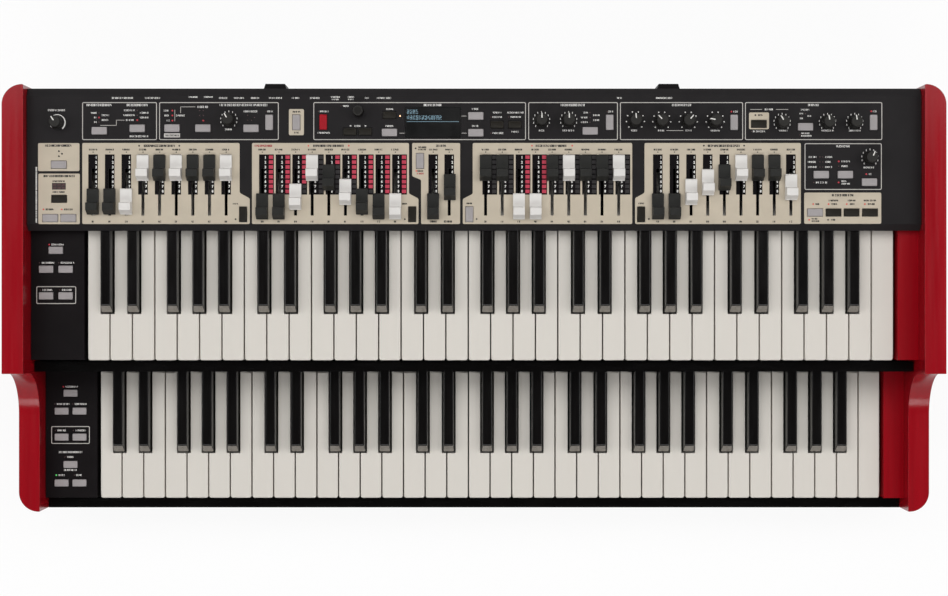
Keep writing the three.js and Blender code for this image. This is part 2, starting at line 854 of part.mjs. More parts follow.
// Posts under the panel that carry the control board
function boardPosts() {
  const rear = panelDepth - boardRearInset;
  const front = rear - boardDepth;
  const half = innerWidth / 2 - boardSideInset;
  const heights = [-panelThickness - boardDrop + fitGap, -panelThickness + overrun];
  const rows = [front, rear - boardPostWidth];
  return rows.flatMap((y) =>
    boardPostShares.map((share) => {
      const x = share * half - boardPostWidth / 2;
      return block([x, x + boardPostWidth], [y, y + boardPostWidth], heights);
    }),
  );
}

function addPanel() {
  const plate = prismAcross(panelSideProfile(), bayLeft, bayRight);
  const whole = joined([plate, ...boardPosts()]);
  addPart(panel, "control_panel", cutBy(whole, panelHoles()), blackPanelPaint());

  const window = block(...displayLimits(0), [-displayThickness, 0]);
  addPart(panel, "display_window", window, windowGlass());

  const rear = panelDepth - boardRearInset;
  const half = innerWidth / 2 - boardSideInset;
  const boardTop = -panelThickness - boardDrop;
  const board = block([-half, half], [rear - boardDepth, rear], [boardTop - boardThickness, boardTop]);
  addPart(panel, "control_board", board, boardGreen());
}

function addPanelButtons() {
  const padTop = -panelThickness - padDrop;
  const heights = [padTop - padThickness, padTop];
  const strips = padStripShares.map(([left, right, front, rear]) =>
    block([left * innerWidth, right * innerWidth], [front * panelDepth, rear * panelDepth], heights),
  );
  const caps = [];
  for (const { shares, width, depth } of buttonKinds)
    for (const place of shares) {
      const limits = buttonLimits(panelPlace(place), width, depth, 0);
      caps.push(block(...limits, [padTop - padThickness, buttonProud]));
    }
  addPart(panel, "panel_buttons", joined([...strips, ...caps]), greyButtonPlastic());
}

// A knob with its pointer ridge, turned about its own shaft
function addKnobs() {
  const sides = 16;
  const shaftSides = 8;
  for (const { name, placeShares, turn } of knobs) {
    const cap = post(knobRadius, capRideGap, knobHeight, sides);
    const shaft = post(knobShaftRadius, -panelThickness, capRideGap + overrun, shaftSides);
    const pointer = block(
      [-pointerWidth / 2, pointerWidth / 2],
      [knobWaist, knobRadius - knobWaist],
      [knobHeight - overrun, knobHeight + pointerHeight],
    );
    const [x, y] = panelPlace(placeShares);
    const mesh = addPart(panel, name, joined([cap, shaft, pointer]), blackPlastic(), x, y);
    mesh.rotation.z = THREE.MathUtils.degToRad(turn);
  }
  const [x, y] = panelPlace(dialShares);
  const dial = joined([
    post(dialRadius, capRideGap, dialHeight, sides),
    post(knobShaftRadius, -panelThickness, capRideGap + overrun, shaftSides),
  ]);
  addPart(panel, "value_dial", dial, blackPlastic(), x, y);
}

// One linked group of drawbars: caps above the panel, stems through it and a yoke below
function drawbarSolid(set, { bars, pulled, level }) {
  const yokeTop = -panelThickness - yokeDrop - level * yokeSpacing;
  const yokeBottom = yokeTop - yokeHeight;
  const pieces = bars.flatMap((bar, at) => {
    const x = barCentre(set, bar);
    const front = barRestFront - pulled[at] * barStep;
    const profile = [
      [0, capRideGap],
      [barCapLength, capRideGap],
      [barCapLength, barTailHeight],
      [barCapLength - barTailRun, barPlateHeight],
      [barPlateFront, barPlateHeight],
      [barCrestRear, barCrestHeight],
      [barCrestFront, barCrestHeight],
      [barLipRun, barLipHeight],
      [0, barLipHeight],
    ].map(([run, height]) => [front + run, height]);
    const stemFront = stemFrontAt(pulled[at]);
    return [
      prismAcross(profile, x - barCapWidth / 2, x + barCapWidth / 2),
      block(
        [x - stemWidth / 2, x + stemWidth / 2],
        [stemFront, stemFront + stemLength],
        [yokeBottom, capRideGap + overrun],
      ),
    ];
  });
  const reach = stemWidth / 2 + yokeEndMargin;
  const yoke = block(
    [barCentre(set, bars[0]) - reach, barCentre(set, bars[bars.length - 1]) + reach],
    [stemFrontAt(Math.max(...pulled)), stemFrontAt(Math.min(...pulled)) + stemLength],
    [yokeBottom, yokeTop],
  );
  return joined([...pieces, yoke]);
}

function addDrawbars() {
  for (const set of barSets)
    for (const linked of set.groups) {
      const title = set.name.startsWith("pedal")
        ? set.name + "_drawbar"
        : set.name + "_drawbars_" + linked.bars.join("");
      const plastic = set.name.startsWith("pedal") ? blackPlastic() : whiteCapPlastic();
      addPart(panel, title, drawbarSolid(set, linked), plastic);
    }
}

// The power supply on the base pan, with its inlet plate filling the cut-out in the rear wall
function addPowerSupply(group) {
  const bottom = panTop + fitGap;
  const rear = rearWallInner - fitGap;
  const right = innerRight - supplyInset;
  const depth = supplyDepthShare * (rearWallInner - chassisRear);
  const box = block(
    [right - supplyWidth, right],
    [rear - depth, rear],
    [bottom, bottom + supplyHeight],
  );
  const inlet = block(
    inletLimits,
    [rear - overrun, rearWallOuter],
    [inletBottom, inletBottom + inletPlateHeight],
  );
  const mouthX = [inletCentre - inletMouthWidth / 2, inletCentre + inletMouthWidth / 2];
  const mouthMiddle = inletBottom + inletPlateHeight / 2;
  const mouthZ = [mouthMiddle - inletMouthHeight / 2, mouthMiddle + inletMouthHeight / 2];
  const mouth = block(mouthX, [rearWallOuter - inletDepth, rearWallOuter + overrun], mouthZ);
  addPart(group, "power_supply", cutBy(joined([box, inlet]), [mouth]), blackPlastic());
}

// Stand brackets on the rear wall, tapering towards the rear
function addBrackets(group) {
  const bracketShares = [-0.2237, 0.2188];
  const top = panelTop - panelRearDrop - panelThickness - bracketDrop;
  const root = rearWallOuter + fitGap;
  bracketShares.forEach((share, at) => {
    const outline = [
      [-bracketWidth / 2, 0],
      [bracketWidth / 2, 0],
      [bracketTopWidth / 2, overallDepth - root],
      [-bracketTopWidth / 2, overallDepth - root],
    ];
    const solid = prismUp(outline, top - bracketHeight, top);
    const title = ["left", "right"][at] + "_stand_bracket";
    addPart(group, title, solid, blackPlastic(), share * innerWidth, root);
  });
}

// All pieces in a group whose Y starts at the organ's front edge
const body = new THREE.Group();
body.position.set(0, frontY, 0);
organ.add(body);

addCheeks(body);
addBasePan(body);
addFeet(body);
addChassis(body);
addSlips(body);
addLeftBlock(body, "upper", upperBlockButtonShares, upperKeysFront, upperWhiteTop, upperKeybedTop);
addLeftBlock(body, "lower", lowerBlockButtonShares, lowerKeysFront, lowerWhiteTop, lowerKeybedTop);
const upperBedFront = upperSlipFront + upperSlipThickness + fitGap - upperKeysFront;
const lowerBedFront = slipThickness + fitGap - lowerKeysFront;
body.add(addManual("upper", upperKeysFront, upperWhiteTop, upperBedFront, false));
body.add(addManual("lower", lowerKeysFront, lowerWhiteTop, lowerBedFront, true));
addPanel();
addPanelButtons();
addKnobs();
addDrawbars();
body.add(panel);
addPowerSupply(body);
addBrackets(body);

export default organ;
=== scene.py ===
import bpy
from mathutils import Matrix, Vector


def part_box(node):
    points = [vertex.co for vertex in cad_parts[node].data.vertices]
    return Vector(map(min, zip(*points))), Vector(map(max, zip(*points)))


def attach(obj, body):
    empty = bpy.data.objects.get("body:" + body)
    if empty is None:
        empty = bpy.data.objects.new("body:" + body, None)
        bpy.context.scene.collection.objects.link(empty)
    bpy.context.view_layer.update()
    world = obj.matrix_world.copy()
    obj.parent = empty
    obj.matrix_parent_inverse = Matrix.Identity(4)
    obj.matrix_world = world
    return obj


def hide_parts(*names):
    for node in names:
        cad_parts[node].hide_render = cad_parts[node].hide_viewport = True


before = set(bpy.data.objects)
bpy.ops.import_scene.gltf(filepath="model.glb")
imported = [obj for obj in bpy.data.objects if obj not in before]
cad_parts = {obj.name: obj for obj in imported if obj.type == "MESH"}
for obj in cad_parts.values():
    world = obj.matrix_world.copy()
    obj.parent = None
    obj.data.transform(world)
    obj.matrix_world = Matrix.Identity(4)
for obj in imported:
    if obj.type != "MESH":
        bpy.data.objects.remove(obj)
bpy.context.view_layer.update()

import math
import random

import bmesh
import bpy
from mathutils import Matrix, Vector

MM = 0.001
SCENE = bpy.context.scene
RANDOM = random.Random(7)


def placed(name, data):
    """A new object in the scene."""
    made = bpy.data.objects.new(name, data)
    SCENE.collection.objects.link(made)
    return made


def set_inputs(node, values):
    for socket, value in values.items():
        node.inputs[socket].default_value = value


class Span:
    """The limits of a CAD node, in millimetres."""

    def __init__(self, node):
        low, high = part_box(node)
        self.left, self.front, self.bottom = low / MM
        self.right, self.rear, self.top = high / MM
        self.middle = ((self.left + self.right) / 2, (self.front + self.rear) / 2)


# Places of the case, from the frame
CHEEK = Span("left_cheek")
PANEL = Span("control_panel")
SLIPS = {name: Span(name + "_key_slip") for name in ("upper", "lower")}
BLOCKS = {name: Span(name + "_left_block") for name in ("upper", "lower")}
WHITES = {name: Span(name + "_white_keys_1") for name in ("upper", "lower")}
INNER_X, OUTER_X = -CHEEK.right, -CHEEK.left
INNER_WIDTH = 2 * INNER_X
PANEL_DEPTH = PANEL.rear - PANEL.front
CHEEK_PROUD, CHEEK_RISE = 0.6, 29.5  # past the upper slip, and over the lower white keys
UPPER_CHEEK_FRONT = SLIPS["upper"].front - CHEEK_PROUD
LOWER_CHEEK_TOP = WHITES["lower"].top + CHEEK_RISE

# Places of the keys, from the frame
KEY_GAP, KEY_SHRINK = 1.0, 0.12
OCTAVES, WHITES_PER_OCTAVE = 5, 7
WHITE_COUNT = OCTAVES * WHITES_PER_OCTAVE + 1
KEYS_LEFT = WHITES["upper"].left - KEY_GAP / 2
KEYS_RIGHT = Span("upper_white_keys_5").right + KEY_GAP / 2
WHITE_PITCH = (KEYS_RIGHT - KEYS_LEFT) / WHITE_COUNT
BLACK_CENTRES = (0.9, 2.09, 3.86, 5.0, 6.15)  # in white keys from the octave's left
CLOSE = 0.1  # points nearer than this count as level

# Camera: straight down, at the photograph's distance
PHOTO_WIDTH, PHOTO_HEIGHT = 948, 596
CAMERA_Y, CAMERA_HEIGHT = 2.4, 2067
SENSOR, LENS = 36, 69.61
CLIP_RANGE = (0.05, 30)
FOCAL_PIXELS = PHOTO_WIDTH * LENS / SENSOR

camera = placed("camera", bpy.data.cameras.new("camera"))
camera.location = (0, CAMERA_Y * MM, CAMERA_HEIGHT * MM)
camera.data.sensor_width, camera.data.lens = SENSOR, LENS
camera.data.clip_start, camera.data.clip_end = CLIP_RANGE
SCENE.camera = camera
SCENE.view_settings.view_transform = "Standard"


# Lights, in metres and watts
def area_light(name, place, aim, size, power):
    data = bpy.data.lights.new(name, "AREA")
    data.shape = "RECTANGLE"
    data.size, data.size_y = size
    data.energy = power
    lamp = placed(name, data)
    lamp.location = place
    lamp.rotation_euler = (Vector(aim) - Vector(place)).to_track_quat("-Z", "Y").to_euler()


area_light("rear_softbox", (0, 1.15, 2.3), (0, 0.1, 0.1), (3.2, 1.4), 29)
area_light("left_softbox", (-1.9, 0.3, 1.7), (0, 0, 0.1), (1.2, 1.6), 15.5)
area_light("right_softbox", (1.9, 0.3, 1.7), (0, 0, 0.1), (1.2, 1.6), 16.5)
area_light("front_softbox", (0, -1.7, 2.0), (0, -0.1, 0.1), (2.4, 0.8), 26)

world = bpy.data.worlds.new("studio")
world.use_nodes = True
set_inputs(world.node_tree.nodes["Background"], {"Color": (1, 1, 1, 1), "Strength": 0.08})
SCENE.world = world


# Finishes
def linear(*rgb):
    """A screen colour, 0 to 255, as the linear one that a shader takes."""
    parts = [c / 255 for c in rgb]
    return tuple(p / 12.92 if p <= 0.04045 else ((p + 0.055) / 1.055) ** 2.4 for p in parts)


NOISE_ENDS = (0.3, 0.7)
ROUGH_SPREAD, ROUGH_GRAIN = 0.05, 2.3  # how far the roughness varies, and its grain against the colour's
COLOUR_DETAIL, ROUGH_DETAIL, RELIEF_DETAIL = 5, 3, 2
RELIEF_DEPTH = 0.0002  # in metres


def noise(tree, grain, detail):
    """A noise in the object's own space, with its own grain along each axis."""
    place = tree.nodes.new("ShaderNodeTexCoord")
    stretch = tree.nodes.new("ShaderNodeMapping")
    set_inputs(stretch, {"Scale": grain})
    tree.links.new(place.outputs["Object"], stretch.inputs["Vector"])
    texture = tree.nodes.new("ShaderNodeTexNoise")
    set_inputs(texture, {"Scale": 1, "Detail": detail, "Roughness": 0.55})
    tree.links.new(stretch.outputs[0], texture.inputs["Vector"])
    return texture.outputs[0]


def finish(name, rgb, rough, vary=0.05, grain=60, relief=0.1, relief_grain=1200, gloss=0.5, glow=0.0):
    """A material whose colour, roughness and relief vary with noise."""
    made = bpy.data.materials.new(name)
    made.use_nodes = True
    tree = made.node_tree
    shader = tree.nodes["Principled BSDF"]
    shader.inputs["Specular IOR Level"].default_value = gloss
    grain = grain if isinstance(grain, tuple) else (grain,) * 3
    relief_grain = relief_grain if isinstance(relief_grain, tuple) else (relief_grain,) * 3

    base = linear(*rgb)
    shades = tree.nodes.new("ShaderNodeValToRGB")
    dark, light = shades.color_ramp.elements
    dark.position, light.position = NOISE_ENDS
    dark.color = (*[c * (1 - vary) for c in base], 1)
    light.color = (*[min(1, c * (1 + vary)) for c in base], 1)
    tree.links.new(noise(tree, grain, COLOUR_DETAIL), shades.inputs[0])
    tree.links.new(shades.outputs[0], shader.inputs["Base Color"])
    if glow:
        shader.inputs["Emission Strength"].default_value = glow
        tree.links.new(shades.outputs[0], shader.inputs["Emission Color"])

    spread = tree.nodes.new("ShaderNodeMapRange")
    set_inputs(spread, {"From Min": NOISE_ENDS[0], "From Max": NOISE_ENDS[1]})
    set_inputs(spread, {"To Min": rough - ROUGH_SPREAD, "To Max": rough + ROUGH_SPREAD})
    tree.links.new(noise(tree, tuple(g * ROUGH_GRAIN for g in grain), ROUGH_DETAIL), spread.inputs["Value"])
    tree.links.new(spread.outputs[0], shader.inputs["Roughness"])

    bump = tree.nodes.new("ShaderNodeBump")
    set_inputs(bump, {"Strength": relief, "Distance": RELIEF_DEPTH})
    tree.links.new(noise(tree, relief_grain, RELIEF_DETAIL), bump.inputs["Height"])
    tree.links.new(bump.outputs[0], shader.inputs["Normal"])
    return made


# Each finish: screen colour, roughness, the colour's variation and grain, the relief and its grain
ALONG_GRAIN = (150, 5, 150)
FINE_ALONG_GRAIN = (500, 20, 500)
LACQUER = finish("red_lacquer", (148, 5, 20), 0.2, 0.08, ALONG_GRAIN, 0.08, FINE_ALONG_GRAIN, gloss=0.42)
PANEL_PAINT = finish("panel_black", (31, 29, 30), 0.45, 0.1, 30, 0.3, 1400, gloss=0.12)
BRACKET_PAINT = finish("bracket_black", (20, 18, 19), 0.45, 0.1, 60, 0.2, 1400, gloss=0.08)
BLOCK = finish("block_black", (21, 18, 19), 0.42, 0.1, 30, 0.2, 1600, gloss=0.08)
SLIP = finish("slip_black", (6, 5, 5), 0.26, 0.15, (12, 60, 60), 0.1, (300, 900, 900), gloss=0.12)
CREAM = finish("cream_print", (191, 180, 162), 0.6, 0.04, 60, 0.15, 1200, gloss=0.15)
WHITE_PRINT = finish("white_print", (228, 226, 222), 0.55, 0.04, 200)
GREY_PRINT = finish("grey_print", (186, 182, 177), 0.55, 0.05, 200)
DARK_PRINT = finish("dark_print", (18, 15, 15), 0.55, 0.06, 200)
RED_PRINT = finish("red_print", (158, 52, 56), 0.55, 0.06, 200)
WINDOW = finish("window_black", (17, 14, 16), 0.4, 0.12, 80, 0.1, 900, gloss=0.06)
WHITE_KEY = finish(
    "white_key_plastic", (216, 211, 203), 0.35, 0.006, (40, 12, 40), 0.02, (60, 20, 60), gloss=0.25
)
BLACK_KEY = finish(
    "black_key_plastic", (10, 8, 8), 0.2, 0.2, (60, 10, 60), 0.06, (700, 60, 700), gloss=0.32
)
# The grey on each black key's nose slope is a painted reflection of the white keys in front, not the
# plastic's own colour
BLACK_KEY_PAINTED_REFLECTION = finish("black_key_front_painted_reflection", (128, 122, 114), 0.3, 0.18, 260, 0.3, 500)
WHITE_CAP = finish("white_cap_plastic", (220, 217, 213), 0.45, 0.02, 70, 0.1, 1500)
BLACK_CAP = finish("black_cap_plastic", (36, 36, 34), 0.42, 0.12, 90, 0.25, 1500, gloss=0.2)
STEM = finish("stem_black", (10, 9, 9), 0.6, 0.1, 90, 0.1, 900, gloss=0.15)
GREY_BUTTON = finish("grey_button_rubber", (157, 152, 152), 0.6, 0.04, 90, 0.2, 1500, gloss=0.3)
DARK_BUTTON = finish("dark_button_rubber", (33, 30, 25), 0.4, 0.15, 90, 0.2, 1500, gloss=0.15)
RED_BUTTON = finish("red_button_rubber", (156, 20, 33), 0.4, 0.08, 90, 0.15, 1500, gloss=0.15)
KNOB = finish("knob_black", (24, 22, 20), 0.42, 0.15, 110, 0.25, 1500, gloss=0.2)
# Knob crowns: the same black plastic painted a little lighter, as painted light on the knobs' tops
KNOB_TOP_PAINTED_LIGHT = finish("knob_top", (27, 25, 22), 0.5, 0.12, 160, 0.25, 1500, gloss=0.3)
POINTER = finish("pointer_white", (224, 222, 217), 0.5, 0.03, 160)
RED_LAMP = finish("red_lamp", (180, 40, 54), 0.3, 0.08, 400, glow=0.12)
PLATE_LAMP = finish("plate_lamp", (200, 84, 74), 0.3, 0.08, 400, glow=0.15)
LADDER_LAMP = finish("ladder_lamp", (180, 50, 72), 0.35, 0.1, 400, glow=0.06)
DIM_LAMP = finish("dim_lamp", (70, 46, 46), 0.3, 0.1, 400)
DARK_CELL = finish("dark_cell", (46, 43, 44), 0.35, 0.1, 300, gloss=0.3)
GREEN_LAMP = finish("green_lamp", (80, 190, 96), 0.3, 0.06, 400, glow=0.5)
ORANGE_LAMP = finish("orange_lamp", (255, 200, 150), 0.3, 0.06, 400, glow=0.9)
SCREEN = finish("screen_glass", (22, 22, 22), 0.16, 0.1, 25, 0.03, 900, gloss=0.2)
SCREEN_MARK = finish("screen_mark", (112, 142, 156), 0.4, 0.04, 400, glow=0.2)
PAN_PAINT = finish("pan_paint", (30, 29, 30), 0.5, 0.1, 25, 0.4, 1300)
SHEET = finish("black_steel_sheet", (26, 25, 26), 0.45, 0.1, 40, 0.25, 1200, gloss=0.3)
RUBBER = finish("foot_rubber", (24, 23, 23), 0.85, 0.15, 120, 0.6, 900)
BOARD = finish("circuit_board", (24, 84, 48), 0.4, 0.12, 220, 0.3, 500)
SOCKET = finish("socket_black", (20, 20, 21), 0.42, 0.12, 120, 0.2, 900)


# Shapes, in millimetres
def band(bm, below, above):
    """Faces that join two matching rings of corners."""
    for at in range(len(below)):
        after = (at + 1) % len(below)
        bm.faces.new((below[at], below[after], above[after], above[at]))


def lofted(rings):
    """A closed solid through matching rings of points, the lowest first."""
    bm = bmesh.new()
    rings = [[bm.verts.new(point) for point in points] for points in rings]
    bm.faces.new(rings[0][::-1])
    bm.faces.new(rings[-1])
    for below, above in zip(rings, rings[1:]):
        band(bm, below, above)
    return bm


def prism(points, z0, z1):
    """A closed prism on an outline that runs anticlockwise, seen from above."""
    return lofted([[(x, y, z) for x, y in points] for z in (z0, z1)])


def side_prism(points, x0, x1):
    """A closed prism across X on an outline in Y and Z that runs anticlockwise, seen from +X."""
    return lofted([[(x, y, z) for y, z in points] for x in (x0, x1)])


def box_shape(x0, x1, y0, y1, z0, z1):
    return prism([(x0, y0), (x1, y0), (x1, y1), (x0, y1)], z0, z1)


def ring(radius, height, sides, groove=0.0, grooves=0):
    """Points round a circle, drawn in at each groove."""
    points = []
    for at in range(sides):
        angle = 2 * math.pi * at / sides
        reach = radius - groove * (0.5 + 0.5 * math.cos(grooves * angle))
        points.append((reach * math.cos(angle), reach * math.sin(angle), height))
    return points


def lathe(profile, sides, flute=0.0, flutes=0):
    """A closed solid turned about Z from its lowest ring up; a ring's third value scales its grooves."""
    return lofted([ring(radius, height, sides, flute * share, flutes) for radius, height, share in profile])


def tapered(lower, upper, base, crest):
    """A body whose side outline is lower at the half width base, and upper at the half width crest.

    Both outlines run front to rear along the top; lower goes back round underneath.
    """
    bm = bmesh.new()
    sides = []
    for side in (-1, 1):
        low = [bm.verts.new((side * base, y, z)) for y, z in lower]
        high = [bm.verts.new((side * crest, y, z)) for y, z in upper]
        sides.append((low, high))
        bm.faces.new(low)
        bm.faces.new([low[0], *high, low[1]])
    band(bm, *[low[:1] + high + low[1:] for low, high in sides])
    bmesh.ops.recalc_face_normals(bm, faces=bm.faces)
    return bm


def as_mesh(bm):
    mesh = bpy.data.meshes.new("shape")
    bm.to_mesh(mesh)
    bm.free()
    return mesh


def evaluated(data, set_up=None):
    """The mesh of some data, after the modifier that set_up adds to a passing object."""
    holder = placed("holder", data)
    if set_up:
        set_up(holder)
    made = bpy.data.meshes.new_from_object(holder.evaluated_get(bpy.context.evaluated_depsgraph_get()))
    bpy.data.objects.remove(holder)
    return made


def soften(bm, width, weight, segments=3, least_angle=25):
    """Rounds the edges of a shape, each by its weight times width."""
    layer = bm.edges.layers.float.new("bevel_weight_edge")
    for edge in bm.edges:
        if len(edge.link_faces) == 2 and edge.calc_face_angle() > math.radians(least_angle):
            edge[layer] = weight(edge.verts[0].co, edge.verts[1].co)

    def set_up(holder):
        rounding = holder.modifiers.new("rounding", "BEVEL")
        rounding.limit_method = "WEIGHT"
        rounding.width = width
        rounding.segments = segments
        rounding.use_clamp_overlap = True

    return evaluated(as_mesh(bm), set_up)


def combined(mesh, cutter, operation):
    """The mesh after a boolean with another one."""
    tool = placed("tool", cutter)

    def set_up(holder):
        step = holder.modifiers.new("step", "BOOLEAN")
        step.operation = operation
        step.object = tool
        step.solver = "EXACT"

    made = evaluated(mesh, set_up)
    bpy.data.objects.remove(tool)
    return made


def round_box(x0, x1, y0, y1, z0, z1, radius, segments=2):
    return soften(box_shape(x0, x1, y0, y1, z0, z1), radius, lambda a, b: 1.0, segments)


class Build:
    """Gathers shapes of several finishes into one mesh."""

    def __init__(self):
        self.bm = bmesh.new()
        self.finishes = []

    def add(self, shape, look, move=(0, 0, 0), turn=0.0):
        mesh = shape if isinstance(shape, bpy.types.Mesh) else as_mesh(shape)
        if look not in self.finishes:
            self.finishes.append(look)
        verts, faces = len(self.bm.verts), len(self.bm.faces)
        self.bm.from_mesh(mesh)
        self.bm.verts.ensure_lookup_table()
        self.bm.faces.ensure_lookup_table()
        place = Matrix.Translation(move) @ Matrix.Rotation(turn, 4, "Z")
        bmesh.ops.transform(self.bm, matrix=place, verts=self.bm.verts[verts:])
        for face in self.bm.faces[faces:]:
            face.material_index = self.finishes.index(look)
        return self

    def mesh(self):
        return as_mesh(self.bm)

    def made(self, name, body, slot, replaces=(), smooth=45):
        """The gathered mesh in metres as a piece that rides on a body."""
        mesh = self.mesh()
        mesh.name = name
        mesh.transform(Matrix.Diagonal((MM, MM, MM, 1)))
        for look in self.finishes:
            mesh.materials.append(look)
        piece = placed(name, mesh)
        if smooth:
            mesh.polygons.foreach_set("use_smooth", [True] * len(mesh.polygons))
            mesh.set_sharp_from_angle(angle=math.radians(smooth))
            even = piece.modifiers.new("even_normals", "WEIGHTED_NORMAL")
            even.keep_sharp = True
        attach(piece, body)
        if replaces:
            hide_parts(*replaces)


def around(x, y, radius, degrees):
    """The point at a distance and an angle from another."""
    turn = math.radians(degrees)
    return x + radius * math.cos(turn), y + radius * math.sin(turn)


def arc(x, y, radius, start, end, steps):
    return [around(x, y, radius, start + (end - start) * step / steps) for step in range(steps + 1)]


def round_outline(x0, x1, y0, y1, radius, steps=3):
    return (
        arc(x1 - radius, y0 + radius, radius, -90, 0, steps)
        + arc(x1 - radius, y1 - radius, radius, 0, 90, steps)
        + arc(x0 + radius, y1 - radius, radius, 90, 180, steps)
        + arc(x0 + radius, y0 + radius, radius, 180, 270, steps)
    )


# Backdrop, in metres
def paper_finish():
    """White paper that looks plain white, under its shadow, to the camera, in gloss and through glass."""
    paper_white, own_light = 0.95, 0.9
    made = bpy.data.materials.new("backdrop_paper")
    made.use_nodes = True
    nodes, links = made.node_tree.nodes, made.node_tree.links
    shader = nodes["Principled BSDF"]
    set_inputs(shader, {"Base Color": (*[paper_white] * 3, 1), "Roughness": 0.9, "Specular IOR Level": 0.1})
    path = nodes.new("ShaderNodeLightPath")
    seen = path.outputs["Is Camera Ray"]
    for ray in ("Is Glossy Ray", "Is Transmission Ray"):
        either = nodes.new("ShaderNodeMath")
        either.operation = "MAXIMUM"
        links.new(seen, either.inputs[0])
        links.new(path.outputs[ray], either.inputs[1])
        seen = either.outputs[0]
    share = nodes.new("ShaderNodeMath")
    share.operation = "MULTIPLY"
    share.inputs[1].default_value = own_light
    links.new(seen, share.inputs[0])
    mix = nodes.new("ShaderNodeMixShader")
    links.new(share.outputs[0], mix.inputs[0])
    links.new(shader.outputs[0], mix.inputs[1])
    links.new(nodes.new("ShaderNodeEmission").outputs[0], mix.inputs[2])
    links.new(mix.outputs[0], nodes["Material Output"].inputs["Surface"])
    return made


def backdrop():
    """A round paper floor whose rim sweeps up into a wall."""
    hub, floor_reach, sweep, wall_top, sides, steps = 0.5, 6.0, 1.2, 5.0, 64, 8
    profile = [(hub, 0.0), (floor_reach, 0.0)]
    for step in range(1, steps + 1):
        turn = math.pi / 2 * step / steps
        profile.append((floor_reach + sweep * math.sin(turn), sweep * (1 - math.cos(turn))))
    profile.append((floor_reach + sweep, wall_top))
    bm = bmesh.new()
    rings = [[bm.verts.new(point) for point in ring(radius, height, sides)] for radius, height in profile]
    bm.faces.new(rings[0])
    for inner, outer in zip(rings, rings[1:]):
        band(bm, outer, inner)
    mesh = as_mesh(bm)
    mesh.materials.append(paper_finish())
    mesh.polygons.foreach_set("use_smooth", [True] * len(mesh.polygons))
    placed("backdrop", mesh)


backdrop()


# Cheeks
def sweep_points():
    """The hollow curve from the upper cheek's front down to the lower cheek's top."""
    height, brow_reach, brow_height, toe_reach, reach, steps = 46, 3, 20, 22, 47, 22
    top, end = Vector((0, height)), Vector((-reach, 0))
    brow, toe = Vector((-brow_reach, brow_height)), Vector((-toe_reach, 0))
    foot = Vector((UPPER_CHEEK_FRONT, LOWER_CHEEK_TOP))
    points = []
    for step in range(steps + 1):
        t = step / steps
        s = 1 - t
        points.append(tuple(foot + s**3 * top + 3 * s * s * t * brow + 3 * s * t * t * toe + t**3 * end))
    return points


def cheek_plan(side, corner, inner_corner, steps):
    """The outline from above: round outer corners, and a small round at the inner rear one."""
    near, far = CHEEK.front + corner, CHEEK.rear - corner
    outline = [(INNER_X, CHEEK.front)] + arc(OUTER_X - corner, near, corner, -90, 0, steps)
    outline += arc(OUTER_X - corner, far, corner, 0, 90, steps)
    outline += arc(INNER_X + inner_corner, CHEEK.rear - inner_corner, inner_corner, 90, 180, 5)
    return outline if side > 0 else [(-x, y) for x, y in outline[::-1]]


def cheek_shape(side):
    corner, inner_corner, overrun = 21, 1.1, 5
    edge_round, front_corner_round, same = 1.8, 4.0, 0.01
    profile = [(CHEEK.front, CHEEK.bottom), (CHEEK.rear, CHEEK.bottom), (CHEEK.rear, CHEEK.top)]
    profile += [(UPPER_CHEEK_FRONT, CHEEK.top)] + sweep_points() + [(CHEEK.front, LOWER_CHEEK_TOP)]
    low, high = sorted((side * (INNER_X - overrun), side * (OUTER_X + overrun)))
    board = as_mesh(side_prism(profile, low, high))
    plan = as_mesh(prism(cheek_plan(side, corner, inner_corner, 20), 0, CHEEK.top + overrun))
    bm = bmesh.new()
    bm.from_mesh(combined(board, plan, "INTERSECT"))
    bmesh.ops.dissolve_limit(bm, angle_limit=0.002, verts=bm.verts, edges=bm.edges)

    def weight(a, b):
        upright = abs(a.x - b.x) < same and abs(a.y - b.y) < same
        at_corner = abs(abs(a.x) - OUTER_X) < same and abs(a.y - UPPER_CHEEK_FRONT) < same
        return 1.0 if upright and at_corner else edge_round / front_corner_round

    return soften(bm, front_corner_round, weight)


STEP_GAP, STEP_RISE, STEP_ROUND = 2.5, 7, 1.0
for side, name in ((-1, "left_cheek"), (1, "right_cheek")):
    Build().add(cheek_shape(side), LACQUER).made(name + "_board", "root", "red_lacquer", [name])
for name, block in BLOCKS.items():
    limits = (KEYS_RIGHT + STEP_GAP, INNER_X, block.front, block.rear, block.bottom)
    step = round_box(*limits, WHITES[name].top + STEP_RISE, STEP_ROUND, 3)
    Build().add(step, LACQUER).made(f"right_{name}_step", "root", "red_lacquer", ["right_cheek"])


# Keys: sizes as in the CAD, from a key's front edge and from its top
VISIBLE_LENGTH, PANEL_GAP, BLACK_LAP = 134.9, 0.7, 4
WHITE_HEIGHT, WHITE_TAIL, WHITE_TAIL_DROP = 22, 198, 4
BLACK_FRONT, BLACK_TAIL, BLACK_TAIL_DROP = 49.7, 206, 6
BLACK_BASE, BLACK_TOP, BLACK_RISE, BLACK_DEPTH, BLACK_NOSE = 12.7, 10.2, 12, 15, 8.4
NOTCH_GAP = 0.9
PIVOT_WEB, WHITE_WEB, BLACK_WEB = 8, (-26, -20), (-15, -5)  # the webs at the pivots: length, and heights


